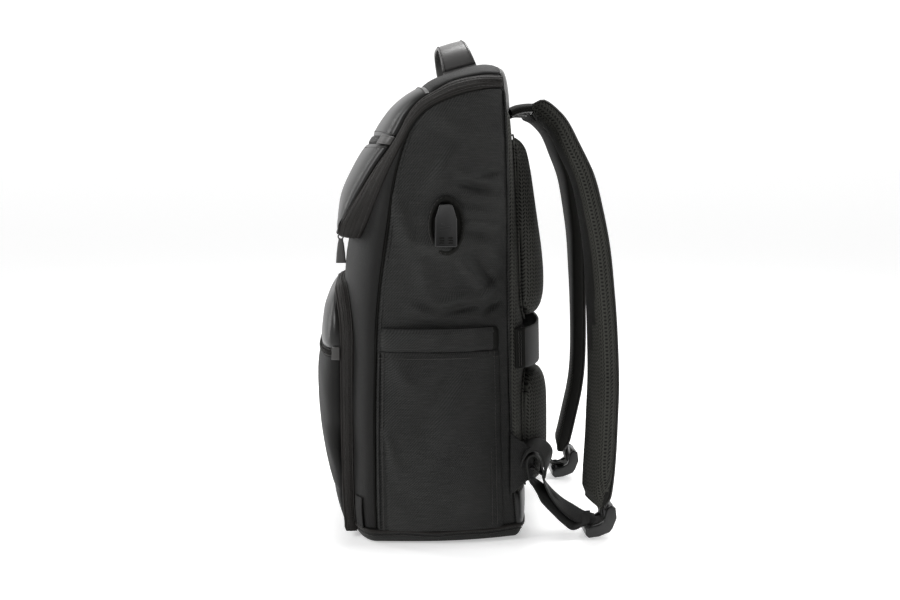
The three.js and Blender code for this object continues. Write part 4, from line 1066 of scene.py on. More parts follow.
FINISHES = {
    "cloth": dict(pattern="twill", roughness=0.66, gloss=0.2, depth=0.0006, strength=0.6, ribs=430.0,
                  slubs=0.38, wrapped=True),
    "canvas": dict(pattern="twill", roughness=0.6, gloss=0.16, depth=0.0004, strength=0.4, ribs=520.0,
                   slubs=0.25),
    "lining_and_shade": dict(pattern="twill", roughness=0.7, gloss=0.12, depth=0.0003, strength=0.4, ribs=600.0,
                   slubs=0.1),
    "satin": dict(pattern="grain", roughness=0.38, gloss=0.32, depth=0.0001, strength=0.2, pebbles=1400.0),
    "dark": dict(pattern="twill", roughness=0.6, gloss=0.2, sheen=0.04, depth=0.0004, strength=0.5, ribs=850.0,
                 slubs=0.2),
    "coated": dict(pattern="grain", roughness=0.46, gloss=0.5, depth=0.0001, strength=0.3, pebbles=1100.0),
    "mesh": dict(pattern="spacer_mesh", roughness=0.8, gloss=0.12, depth=0.0012, strength=0.8, rows=275.0,
                 columns=250.0, lean=0.9, hole=0.45),
    "pad": dict(pattern="spacer_mesh", roughness=0.8, gloss=0.12, depth=0.0012, strength=0.8, rows=275.0,
                columns=250.0, lean=0.9, hole=0.38, wrapped=True),
    "webbing": dict(pattern="ribs", roughness=0.6, gloss=0.25, depth=0.0005, strength=0.6, ribs=520.0,
                    picks=800.0),
    "plastic": dict(pattern="grain", roughness=0.33, gloss=0.5, depth=0.00005, strength=0.2, pebbles=2500.0),
    "grey": dict(pattern="grain", roughness=0.42, gloss=0.4, depth=0.0001, strength=0.3, pebbles=1500.0),
    "thread": dict(pattern="ribs", roughness=0.6, gloss=0.25, ribs=900.0, picks=900.0),
}


class BackpackColours(bpy.types.PropertyGroup):
    """The two tones of every finish."""


class BackpackSizes(bpy.types.PropertyGroup):
    """Cloth, seam and zip sizes of the visible pieces."""

    cloth_wall: bpy.props.FloatProperty(
        name="Cloth", description="Thickness of the panels", default=0.0018, min=0.001, max=0.003,
        unit="LENGTH")
    piping: bpy.props.FloatProperty(
        name="Piping", description="Radius of the cords sewn into the seams", default=0.0007, unit="LENGTH")
    stitch: bpy.props.FloatProperty(
        name="Stitch", description="Length of one stitch with its gap", default=0.0042, unit="LENGTH")
    thread: bpy.props.FloatProperty(
        name="Thread", description="Radius of the sewing thread", default=0.00032, unit="LENGTH")
    coil_pitch: bpy.props.FloatProperty(
        name="Coil pitch", description="Distance between two turns of a zip", default=0.0017, unit="LENGTH")
    coil_width: bpy.props.FloatProperty(
        name="Coil width", description="Width of a closed zip's coil", default=0.0046, unit="LENGTH")
    lid_puff: bpy.props.FloatProperty(
        name="Lid puff", description="How far the lid's panels fill out", default=0.003, unit="LENGTH")


def tone(name, description, default):
    return bpy.props.FloatVectorProperty(
        name=name, description=description, subtype="COLOR", size=3, min=0, max=1, default=default)


TONES = {
    "cloth": ((0.004, 0.0041, 0.0039), (0.039, 0.0395, 0.0378)),
    "canvas": ((0.006, 0.006, 0.0057), (0.015, 0.0147, 0.0142)),
    # The lining tones serve a real dark cloth, and also painted shade on the port's recess and slots, the
    # strap anchors and parts of the straps.
    "lining_and_shade": ((0.004, 0.004, 0.0034), (0.012, 0.012, 0.0105)),
    "satin": ((0.008, 0.0078, 0.0075), (0.014, 0.0137, 0.0132)),
    "dark": ((0.008, 0.0073, 0.0066), (0.024, 0.0215, 0.0195)),
    "coated": ((0.078, 0.0765, 0.075), (0.104, 0.102, 0.100)),
    "mesh": ((0.044, 0.044, 0.039), (0.002, 0.002, 0.0017)),
    "pad": ((0.060, 0.060, 0.054), (0.002, 0.002, 0.0017)),
    "webbing": ((0.009, 0.009, 0.0085), (0.034, 0.0335, 0.032)),
    "plastic": ((0.008, 0.008, 0.008), (0.013, 0.013, 0.013)),
    "grey": ((0.035, 0.0335, 0.032), (0.055, 0.053, 0.051)),
    "thread": ((0.026, 0.025, 0.0235), (0.048, 0.046, 0.044)),
}
for finish, (low, high) in TONES.items():
    BackpackColours.__annotations__[finish + "_low"] = tone(f"{finish} low", f"Deeper tone of {finish}", low)
    BackpackColours.__annotations__[finish + "_high"] = tone(
        f"{finish} high", f"Lighter tone of {finish}", high)


def sizes():
    return bpy.context.scene.backpack_sizes


def seam(name, line, finish="dark", radius=None, closed=False, step=0.004):
    """A piping cord along a seam."""
    even = resample(line, step)
    if closed:
        even[-1] = even[0]
    return dress(name, tube_mesh(name, even, radius or sizes().piping, sides=8, closed=closed), finish)


def stitching(name, lines, finish="thread"):
    """Rows of stitches; each line is its points and their outward normals."""
    made = [thread_mesh(name, line, out, sizes().stitch, sizes().thread) for line, out in lines]
    return dress(name, joined(name, made), finish)


def zip_coil(name, line, outward, finish="dark", width=None):
    given = sizes()
    mesh = coil_mesh(name, line, outward, width or given.coil_width, given.coil_pitch, 0.00045, 0.0007)
    return dress(name, mesh, finish)


SIDES = (("right", 1), ("left", -1))


class BackpackOperator:
    """What all builders share."""

    bl_options = {"REGISTER", "UNDO"}

    def execute(self, context):
        self.build()
        return {"FINISHED"}


class BACKPACK_OT_finishes(BackpackOperator, bpy.types.Operator):
    """Makes the shared patterns and the material of every finish"""

    bl_idname = "backpack.finishes"
    bl_label = "Finishes"

    def build(self):
        for make in (weave_group, mesh_group, grain_group, rib_group, wear_and_painted_light_group):
            make()
        colours = bpy.context.scene.backpack_colours
        for name, recipe in FINISHES.items():
            finish_material(name, getattr(colours, name + "_low"), getattr(colours, name + "_high"), **recipe)


class BACKPACK_OT_body(BackpackOperator, bpy.types.Operator):
    """Builds the side, front and back panels, the yoke, the foot and their seams"""

    bl_idname = "backpack.body"
    bl_label = "Body"

    def build(self):
        given = sizes()
        top = WALL["at"][-1] * HEIGHT

        def uneven(s, t, place):
            return folds(SIDE_FOLDS, place[..., 1], place[..., 2]) + 0.0005 * ripple(place, 0.11, 3.0)

        for label, side in SIDES:
            mesh = grid_mesh(
                "side", lambda s, t: sided(side_point(s, mix(BASE_SEAM, top, t)), side), 96, 210,
                inside=inside_body, relief=sewn(0.0014, 0.03, 0.0007, 0.0018, "left right low", uneven),
                spread=lambda t: 1 - (1 - t) ** 1.6)
            dress("side_panel_" + label, mesh, "cloth", ["side_panel_" + label], given.cloth_wall)
            share = np.linspace(0, 1, 160)
            height = mix(BASE_SEAM, top, 1 - (1 - share) ** 1.8)
            front = sided(side_point(0 * height, height), side)
            seam("front_seam_" + label, front + points(-side * 0.0006, -0.0008, 0), "lining_and_shade", 0.0014)
            rear = sided(side_point(0 * height + 1, height), side)
            seam("rear_seam_" + label, rear + points(side * 0.0003, 0.0004, 0), "cloth", 0.0012)
            inner = side_point(np.clip(0.004 / FULL_SIDE + 0 * height[8:120], 0, 1), height[8:120])
            line = sided(inner, side) + points(side * 0.0003, 0, 0)
            stitching("front_stitches_" + label, [(line, points(side, 0, 0) + 0 * line)], "cloth")

        def drape(s, t, place):
            return 0.0006 * ripple(place, 0.13, 5.0)

        mesh = grid_mesh("front", front_panel_surface, 150, 80, inside=inside_body,
                         relief=sewn(0.0012, 0.03, 0.0007, 0.002, "low", drape))
        dress("front_panel", mesh, "canvas", ["front_panel"], given.cloth_wall)
        mesh = grid_mesh(
            "back", lambda s, t: back_point(s * np.pi, mix(BASE_SEAM, YOKE["mid_z"][-1] * HEIGHT, t)), 76, 90,
            inside=inside_body, relief=sewn(0.001, 0.02, 0.001, 0.003))
        dress("back_panel", mesh, "pad", ["back_panel"], given.cloth_wall)
        mesh = grid_mesh("yoke", yoke_surface, 90, 36, inside=inside_body,
                         relief=sewn(0.0016, 0.008, 0.001, 0.003))
        dress("back_yoke", mesh, "coated", ["back_yoke"], given.cloth_wall)
        mesh = grid_mesh(
            "foot", lambda s, t: back_point(s * np.pi, mix(BASE_SEAM - 0.001, 0.046, t)), 90, 16,
            inside=inside_body, relief=sewn(0.0022, 0.004, 0.0, 0.003, "low high"))
        dress("back_foot", mesh, "satin", wall_thickness=0.001)


class BACKPACK_OT_base(BackpackOperator, bpy.types.Operator):
    """Builds the base and the binding round its seam"""

    bl_idname = "backpack.base"
    bl_label = "Base"

    def build(self):
        mesh = grid_mesh("base", base_surface, 200, 30, closed=True,
                         inside=lambda place: points(0.0, 0.0, 0.03) + 0 * place)
        dress("base_panel", joined("base", [mesh]), "cloth", ["base_panel"], 0.003)
        share = np.linspace(0, 1, 300)
        line = foot_point(share)
        line = line + unit(line * np.array([1, 1, 0])) * 0.0012
        line[:, 2] += 0.0012 * np.sin(share * 14 * np.pi) * np.sin(share * 6 * np.pi)
        seam("base_binding", line, "dark", 0.0018, closed=True)
        out = unit(line * np.array([1, 1, 0]))
        lower = line - np.array([0, 0, 0.0045]) - out * 0.0008
        stitching("base_stitches", [(lower, out)])


class BACKPACK_OT_lid(BackpackOperator, bpy.types.Operator):
    """Builds the lid's panels, its coil zip and end tabs, and the zipped gusset below it"""

    bl_idname = "backpack.lid"
    bl_label = "Lid"

    def build(self):
        given = sizes()
        parts = (
            ("lid_top_panel", 0.0, LID_FOLD, 60, "canvas", 0.6),
            ("lid_front_upper_panel", LID_FOLD, LID_ZIP - LID_HALF_ZIP, 60, "satin", 0.9),
            ("lid_zip", LID_ZIP - LID_HALF_ZIP, LID_ZIP + LID_HALF_ZIP, 8, "dark", 0.0),
            ("lid_front_lower_panel", LID_ZIP + LID_HALF_ZIP, LID_END, 70, "satin", 1.0),
        )
        for name, start, end, rows, finish, full in parts:
            mesh = grid_mesh(
                name, lambda s, t: lid_point(mix(start, end, t), s * np.pi), 120, rows, inside=inside_body,
                relief=sewn(full * given.lid_puff, 0.010, 0.0012 if full else 0.0003, 0.0028,
                            extra=lambda s, t, place: full * (
                                0.0005 * ripple(place, 0.09, 2.0)
                                + folds(FRONT_FOLDS, place[..., 1], place[..., 2]))))
            dress(name, mesh, finish, [name], 0.0024)

        at = np.linspace(0, LID_END, 200)
        for label, side in SIDES:
            edge = sided(lid_point(at, 0 * at), side)
            seam("lid_edge_" + label, edge + points(side * 0.0001, 0, -0.0002), "dark", 0.0010)
        angle = np.linspace(0, np.pi, 120)
        seam("lid_lip", lid_point(LID_END + 0 * angle, angle), "dark", 0.0010)

        def across(s, t):
            return lid_point(mix(LID_ZIP - LID_HALF_ZIP, LID_ZIP + LID_HALF_ZIP, t), s * np.pi)

        line, out = surface_line(across, np.linspace(0.06, 0.94, 200), 0.5, -0.0002)
        zip_coil("lid_zip_coil", line, out, "satin", 0.0082)
        def whole(s, t):
            return lid_point(mix(0, LID_END, t), s * np.pi)

        rows = [surface_line(whole, np.linspace(0.02, 0.98, 200), place / LID_END, 0.0012)
                for place in (LID_FOLD + 0.2, LID_ZIP - 0.36, LID_ZIP + 0.38)]
        stitching("lid_stitches", rows)

        for label, side in SIDES:
            def patch(s, t):
                place = lid_point(LID_ZIP + mix(-0.24, 0.24, t), mix(0.01, 0.17, s) * np.pi)
                return sided(place, side)

            line = grid_mesh(
                "tab", patch, 24, 8, inside=inside_body,
                relief=lambda s, t, u, v, place: 0.0022 + 0.0006 * (1 - np.exp(-np.minimum(
                    np.minimum(s, 1 - s) * 0.02, np.minimum(t, 1 - t) * 0.01) / 0.001)))
            dress("lid_zip_tab_" + label, line, "grey", ["lid_zip_tab_" + label], 0.0012)

        def filled(s, t, u, v, place):
            arch = np.sqrt(np.clip(4 * t * (1 - t), 0, 1))
            lines = sum(np.exp(-(((t - k) / 0.022) ** 2)) for k in (0.22, 0.44, 0.56, 0.78))
            return 0.0034 * arch - 0.0006 * lines

        mesh = grid_mesh("gusset", gusset_surface, 320, 20, inside=inside_body, relief=filled)
        dress("lid_gusset", mesh, "dark", ["lid_gusset"], 0.0015)
        line, out = surface_line(gusset_surface, np.linspace(0.004, 0.996, 500), 0.5, 0.0022)
        zip_coil("main_zip_coil", line, out, width=0.0036)
        rows = [surface_line(gusset_surface, np.linspace(0.01, 0.99, 400), t, 0.0026) for t in (0.18, 0.82)]
        stitching("gusset_stitches", rows)


class BACKPACK_OT_front_pocket(BackpackOperator, bpy.types.Operator):
    """Builds the front pocket's panels, its two zips, the tabs and the loops at its foot"""

    bl_idname = "backpack.front_pocket"
    bl_label = "Front pocket"

    def build(self):
        half = POCKET_ZIP_WIDTH / 2
        parts = (
            ("front_pocket_base", POCKET_BOTTOM, POCKET_BASE, 30, "canvas", 0.0012),
            ("front_pocket_lower", POCKET_BASE, POCKET_ZIP - half, 70, "canvas", 0.0020),
            ("front_pocket_zip", POCKET_ZIP - half, POCKET_ZIP + half, 8, "dark", 0.0),
            ("front_pocket_upper", POCKET_ZIP + half, POCKET_TOP, 50, "satin", 0.0016),
        )
        for name, low, high, rows, finish, full in parts:
            mesh = grid_mesh(
                name, lambda s, t: pocket_point(s * np.pi, mix(low, high, t)), 120, rows, inside=inside_pocket,
                relief=sewn(full, 0.012, 0.0011 if full else 0.0003, 0.0026,
                            extra=lambda s, t, place: 0.3 * full * ripple(place, 0.08, 7.0)
                            + folds(FRONT_FOLDS, place[..., 1], place[..., 2])),
                spread=(lambda t: 1 - (1 - t) ** 1.7) if high == POCKET_TOP else None)
            dress(name, mesh, finish, [name], 0.0016)

        def band(s, t):
            return pocket_point(s * np.pi, mix(POCKET_ZIP - half, POCKET_ZIP + half, t))

        line, out = surface_line(band, np.linspace(0.06, 0.94, 300), 0.5, 0.0007, inside_pocket)
        zip_coil("pocket_zip_coil", line, out)
        for label, side in SIDES:
            def patch(s, t):
                return sided(pocket_point(mix(0.02, 0.22, s), POCKET_ZIP + (t - 0.5) * 0.013), side)

            mesh = grid_mesh("tab", patch, 20, 10, inside=inside_pocket,
                             relief=lambda s, t, u, v, place: 0.0024 + 0 * s)
            dress("front_pocket_zip_tab_" + label, mesh, "grey", ["front_pocket_zip_tab_" + label], 0.0012)

            def loop(s, t):
                return sided(front_point(mix(0.34, 0.58, s), 0.014 + t * 0.030), side)

            mesh = grid_mesh("loop", loop, 16, 20, inside=inside_body,
                             relief=lambda s, t, u, v, place: 0.0024 + 0.0006 * np.sin(np.pi * t))
            dress("front_pocket_loop_" + label, mesh, "canvas", ["front_pocket_loop_" + label], 0.0012)

        def folded(s, t, u, v, place):
            lines = sum(np.exp(-(((t - k) / 0.02) ** 2)) for k in (0.2, 0.36, 0.48, 0.7))
            return 0.0022 * np.sqrt(np.clip(4 * t * (1 - t), 0, 1)) - 0.0005 * lines

        mesh = grid_mesh("pocket gusset", pocket_gusset_surface, 260, 20, inside=inside_pocket, relief=folded)
        dress("front_pocket_gusset", mesh, "dark", ["front_pocket_gusset"], 0.0016)
        share = np.linspace(0.002, 0.998, 400)
        line, out = surface_line(pocket_gusset_surface, share, 0.42, 0.0012, inside_pocket)
        zip_coil("pocket_gusset_coil", line, out, width=0.0032)
        rows = [surface_line(pocket_gusset_surface, np.linspace(0.01, 0.99, 300), t, 0.0019, inside_pocket)
                for t in (0.14, 0.72)]
        stitching("pocket_gusset_stitches", rows)
        line, out = surface_line(pocket_gusset_surface, np.linspace(0.0, 1.0, 300), 1.0, 0.0, inside_pocket)
        seam("pocket_rim_cord", line, "dark", 0.0015)
        line, out = surface_line(pocket_gusset_surface, np.linspace(0.0, 1.0, 300), 0.0, 0.0, inside_pocket)
        seam("pocket_foot_cord", line, "dark", 0.0012)


class BACKPACK_OT_side_pockets(BackpackOperator, bpy.types.Operator):
    """Builds the two side pockets with their hems and stitched edges"""

    bl_idname = "backpack.side_pockets"
    bl_label = "Side pockets"

    def build(self):
        low, high = BASE_SEAM + 0.001, SIDE_POCKET_TOP - SIDE_POCKET_HEM

        def uneven(s, t, place):
            up = (place[..., 2] - low) / (SIDE_POCKET_TOP - low)
            pleat = -0.0012 * np.exp(-(((s - 0.06) / 0.012) ** 2)) * (place[..., 2] < 0.1)
            slack = 0.0016 * ripple(place, 0.12, 9.0) * np.sin(np.pi * s) * (0.3 + 0.7 * up)
            return slack + pleat + folds(POCKET_FOLDS, place[..., 1], place[..., 2])

        for label, side in SIDES:
            body = side_pocket_surface(low, high)
            mesh = grid_mesh(
                "pocket", lambda s, t: sided(body(s, t), side), 90, 130, inside=inside_body,
                relief=sewn(0.0012, 0.02, 0.0009, 0.0025, "left right high", uneven))
            dress("side_pocket_" + label, mesh, "cloth", ["side_pocket_" + label], sizes().cloth_wall)
            folded = side_pocket_surface(high, SIDE_POCKET_TOP, 0.0008)
            mesh = grid_mesh(
                "hem", lambda s, t: sided(folded(s, t), side), 100, 22, inside=inside_body,
                relief=sewn(0.0009, 0.005, 0.0012, 0.0025, "low high left right",
                            lambda s, t, place: 0.0006 * ripple(place, 0.05, 4.0)))
            hem = dress("side_pocket_hem_" + label, mesh, "cloth", ["side_pocket_hem_" + label], 0.0026)
            two_faced(hem.data, "lining_and_shade", lambda u, v: u > 0.935)
            whole = side_pocket_surface(low, high)
            both = [(np.linspace(0, 1, 120), 0.965), (0.035, np.linspace(0.02, 1, 160)),
                    (0.905, np.linspace(0.02, 1, 160)), (0.945, np.linspace(0.02, 1, 160))]
            lines = []
            for s, t in both:
                line, out = surface_line(whole, s, t, 0.0012)
                lines.append((sided(line, side), sided(out, side)))
            stitching("side_pocket_stitches_" + label, lines)
            line, out = surface_line(whole, 0.0, np.linspace(0, 1, 160), 0.0002)
            seam("side_pocket_edge_" + label, sided(line, side), "cloth", 0.0012)


class BACKPACK_OT_port(BackpackOperator, bpy.types.Operator):
    """Builds the charging port: the sunk patch, its stitched surround and the plastic housing"""

    bl_idname = "backpack.port"
    bl_label = "Charging port"

    def build(self):
        centre = side_at(np.array(0.0), np.array(PORT_HEIGHT))

        def patch(s, t):
            turn = 2 * np.pi * s
            y = 0.001 + (1 - t) * PORT_HALF_WIDTH * np.cos(turn)
            z = PORT_HEIGHT + (1 - t) * PORT_HALF_LENGTH * np.sin(turn)
            place = side_at(y, z)
            place[..., 0] += 0.0026
            return place

        def sunk(s, t, u, v, place):
            reach = 1 - t
            return 0.0016 * np.exp(-(((reach - 0.9) / 0.12) ** 2)) - 0.0012 * smooth((0.86 - reach) / 0.1)

        mesh = grid_mesh("port", patch, 72, 24, closed=True, inside=inside_body, relief=sunk)
        # The sunk patch takes the darkest finish, lining, as painted shadow inside the port's recess.
        dress("usb_port_base", joined("port", [mesh]), "lining_and_shade", ["usb_port_base"], 0.001)
        turn = np.linspace(0, 2 * np.pi, 90)
        ring = side_at(0.0158 * np.cos(turn), PORT_HEIGHT + 0.0265 * np.sin(turn))
        ring[:, 0] += 0.0036
        stitching("port_stitches", [(ring, points(1.0, 0, 0) + 0 * ring)])
        bm = bmesh.new()
        outline = [(0.0096, -0.0200), (0.0106, -0.0188), (0.0103, 0.0060), (0.0062, 0.0188), (0.0050, 0.0199)]
        outline += [(-x, y) for x, y in reversed(outline)]
        face = bm.faces.new([bm.verts.new((x, y, 0)) for x, y in outline])
        raised = bmesh.ops.extrude_face_region(bm, geom=[face])
        top = [v for v in raised["geom"] if isinstance(v, bmesh.types.BMVert)]
        bmesh.ops.translate(bm, vec=(0, 0, 0.0040), verts=top)
        bmesh.ops.recalc_face_normals(bm, faces=bm.faces)
        cap = next(f for f in bm.faces if f.normal.z > 0.9)
        rounded(bm, list(cap.edges), 0.0009)
        cap = max((f for f in bm.faces if f.normal.z > 0.9), key=lambda f: f.calc_area())
        bmesh.ops.inset_region(bm, faces=[cap], thickness=0.0008, depth=-0.0003)
        for row in range(3):
            place = Matrix.Translation((0, -0.0045 + row * 0.0032, 0.0037))
            shaped_box(bm, (0.0105, 0.0007, 0.0006), place, 0.0002, 1)
        lift = centre + np.array([0.0030, 0, 0])
        rear, fore = (side_at(np.array(y), np.array(PORT_HEIGHT)) for y in (0.011, -0.011))
        upper, lower = (side_at(np.array(0.0), np.array(PORT_HEIGHT + z)) for z in (0.02, -0.02))
        across, up = unit(rear - fore), unit(upper - lower)
        out = unit(np.cross(across, up))
        up = np.cross(out, across)
        place = axes_matrix(across, up, out, lift)
        bmesh.ops.transform(bm, matrix=place, verts=bm.verts)
        mesh = mesh_from(bm, "housing")
        housing = dress("usb_port_housing", mesh, "plastic", ["usb_port_housing"])
        housing.data.set_sharp_from_angle(angle=math.radians(35))
        # Dark boxes in the lining finish on the housing's cap: painted shade standing in for the slot
        # openings.
        bm = bmesh.new()
        for column in (-1, 1):
            for row in range(3):
                spot = Matrix.Translation((column * 0.0042, -0.0163 + row * 0.0024, 0.0039))
                shaped_box(bm, (0.0042, 0.0013, 0.0008), place @ spot, 0.0002, 1)
        mesh = mesh_from(bm, "slots")
        dress("usb_port_slots", mesh, "lining_and_shade")


def lid_height(x, y):
    """The lid's height over a point, by halving."""
    low, high = 0.0, LID_END
    for _ in range(40):
        at = np.array((low + high) / 2)
        share = min(abs(x) / float(follow(LID, "edge_x", at) * HALF_WIDTH), 1)
        place = lid_point(at, np.array(math.acos(share ** (ROUNDNESS / 2))))
        if place[1] > y:
            low = float(at)
        else:
            high = float(at)
    return float(place[2])


class BACKPACK_OT_handle(BackpackOperator, bpy.types.Operator):
    """Builds the grab handle with its edge stitching"""

    bl_idname = "backpack.handle"
    bl_label = "Handle"

    def build(self):
        depths = [HANDLE_FOOT_DEPTH + k * HANDLE_WIDTH / 2 for k in (-1, 1)]
        feet = [np.array([HANDLE_HALF_SPAN, y, lid_height(HANDLE_HALF_SPAN, y) - 0.001]) for y in depths]
        foot, reach = (feet[0] + feet[1]) / 2, (feet[1] - feet[0]) / 2
        turn = np.linspace(0, np.pi, 97)
        lift = np.sin(turn) ** HANDLE_SQUARENESS
        x = np.sign(np.cos(turn)) * np.abs(np.cos(turn)) ** HANDLE_SQUARENESS * HANDLE_HALF_SPAN
        middle = points(x, foot[1] - HANDLE_LEAN * lift, foot[2] + HANDLE_RISE * lift)
        middle = smooth_line(middle[::4], 120)
        narrow = np.interp(np.linspace(0, 1, 121), np.linspace(0, 1, 97), mix(1.0, HANDLE_NARROWING, lift))
        across = unit(reach) * np.ones((121, 1))
        out = unit(np.cross(unit(np.gradient(middle, axis=0)), across))
        out = out * np.sign(np.sum(out * (middle - foot), axis=1, keepdims=True) + 1e-9)
        half_width = np.linalg.norm(reach) * narrow
        mesh = band_mesh("handle", middle, across, out, half_width, 0.0017, 32, 5.0, 0.25)
        dress("grab_handle", mesh, "coated", ["grab_handle"])
        lines = [(middle + across * (half_width[:, None] * k * 0.86) + out * 0.0019, out) for k in (-1, 1)]
        stitching("handle_stitches", lines)


def pad_surface(bottom, top, full_share=1.0):
    def ease(u):
        return (1 - np.cos(np.pi * u)) / 2

    def crown(u):
        return (1 - np.abs(2 * u - 1) ** 6) ** 0.5

    def surface(s, t):
        z = mix(bottom, top, ease(t))
        to_end = np.minimum(np.minimum(z - bottom, top - z), PAD_CORNER)
        half = PAD_HALF - PAD_CORNER + np.sqrt(PAD_CORNER**2 - (PAD_CORNER - to_end) ** 2)
        x = mix(-half, half, ease(s))
        channel = 1 - CHANNEL_DEPTH * np.exp(-((x / CHANNEL_WIDTH) ** 2))
        full = mix(PAD_THICK, PAD_TOP_THICK, smooth((z - PAD_TAPER_FROM) / (UPPER_PAD[1] - PAD_TAPER_FROM)))
        thick = PAD_EDGE + (full - PAD_EDGE) * crown(ease(s)) * crown(ease(t)) * channel
        rim = (s <= 0) | (s >= 1) | (t <= 0) | (t >= 1)
        return points(x, back_depth(x, z) + np.where(rim, 0.0, thick * full_share), z)

    return surface


def baked(piece):
    """A copy of the piece's mesh as its modifiers leave it."""
    return bpy.data.meshes.new_from_object(piece.evaluated_get(bpy.context.evaluated_depsgraph_get()))


def swollen(mesh, voxel=0.005, pressure=4.0, frames=20, reach=0.004):
    """The same padded form, filled out by a cloth simulation; no point moves further than reach."""
    scene = bpy.context.scene
    pad = bpy.data.objects.new("pad", mesh)
    scene.collection.objects.link(pad)
    remesh = pad.modifiers.new("remesh", "REMESH")
    remesh.mode, remesh.voxel_size = "VOXEL", voxel
    even = baked(pad)
    pad.modifiers.clear()
    pad.data = even
    count = len(even.vertices) * 3
    start = np.empty(count)
    even.vertices.foreach_get("co", start)
    cloth = pad.modifiers.new("cloth", "CLOTH")
    cloth.settings.use_pressure = True
    cloth.settings.uniform_pressure_force = pressure
    cloth.settings.effector_weights.gravity = 0
    cloth.point_cache.frame_start, cloth.point_cache.frame_end = 1, frames
    for frame in range(1, frames + 1):
        scene.frame_set(frame)
    filled = baked(pad)
    pad.modifiers.clear()
    scene.frame_set(1)
    end = np.empty(count)
    filled.vertices.foreach_get("co", end)
    move = (end - start).reshape(-1, 3)
    far = np.linalg.norm(move, axis=1, keepdims=True)
    move *= np.minimum(1, reach / np.maximum(far, 1e-9))
    even.vertices.foreach_set("co", start + move.ravel())
    smooth_out = pad.modifiers.new("smooth", "SUBSURF")
    smooth_out.levels = smooth_out.render_levels = 1
    done = baked(pad)
    bpy.data.objects.remove(pad)
    return done


class BACKPACK_OT_back_pads(BackpackOperator, bpy.types.Operator):
    """Builds the two back pads and the strap for a trolley case between them"""

    bl_idname = "backpack.back_pads"
    bl_label = "Back pads"

    def build(self):
        for name, (bottom, top) in (("back_pad_upper", UPPER_PAD), ("back_pad_lower", LOWER_PAD)):
            surface = pad_surface(bottom, top)
            front = grid_mesh(name, pad_surface(bottom, top, 0.9), 90, 70, inside=inside_body)
            rear = grid_mesh(name, pad_surface(bottom, top, 0.02), 90, 70, inside=inside_body)
            rear.flip_normals()
            pad = dress(name, swollen(joined(name, [front, rear])), "pad", [name])
            share = np.linspace(0, 1, 90)
            rim = np.concatenate([surface(share, 0 * share), surface(0 * share + 1, share),
                                  surface(share[::-1], 0 * share + 1), surface(0 * share, share[::-1])])
            keep = np.concatenate([[True], np.linalg.norm(np.diff(rim, axis=0), axis=1) > 1e-5])
            rim = rim[keep] + np.array([0, 0.0022, 0])
            seam(name + "_binding", rim, "pad", 0.0009, closed=True)
        middle = (UPPER_PAD[0] + LOWER_PAD[1]) / 2

        def strap(s, t):
            z = middle + (t - 0.5) * LUGGAGE_STRAP_HEIGHT
            x, out = corner(mix(0.1, np.pi - 0.1, s))
            lift = 0.0025 + 0.017 * out**1.5
            return points(BACK_EDGE * x, back_depth(BACK_EDGE * x, z) + lift, z)

        mesh = grid_mesh("luggage strap", strap, 160, 20, inside=inside_body)
        band = dress("luggage_strap", mesh, "webbing", ["luggage_strap"], 0.002)
        # The strap's two ends, where it turns round the back's corners, take the darker lining finish as
        # painted shade.
        two_faced(band.data, "lining_and_shade", lambda u, v: not 0.045 < u < 0.955)
        lines = [surface_line(strap, s, np.linspace(0.05, 0.95, 20), 0.0004) for s in (0.03, 0.05, 0.95, 0.97)]
        stitching("luggage_strap_stitches", lines)


def two_faced(mesh, finish, chosen):
    """Gives a second finish to the faces chosen by their place across and along, each as a share."""
    mesh.materials.append(bpy.data.materials[finish + " finish"])
    uv = np.array([k.vector for k in mesh.uv_layers["cloth"].uv])
    low, high = uv.min(axis=0), uv.max(axis=0)
    for face in mesh.polygons:
        u, v = (uv[list(face.loop_indices)].mean(axis=0) - low) / (high - low)
        if chosen(u, v):
            face.material_index = 1


def smooth_side_and_painted_shade(u, v):
    """The part of a shoulder strap given the darker lining finish: its outer face, which is smooth cloth, and
    its inner face near the top, which is mesh darkened as painted shade.
    """
    return mix(0.14, 0.47, float(smooth((v - 0.45) / 0.3))) < u < 0.95


def strap_line(start, end, steps, swing, side):
    at = np.linspace(start, end, steps + 1)
    along, across, out = strap_axes(at, swing)
    return at, sided(strap_middle(at, swing), side), sided(across, side), sided(out, side)


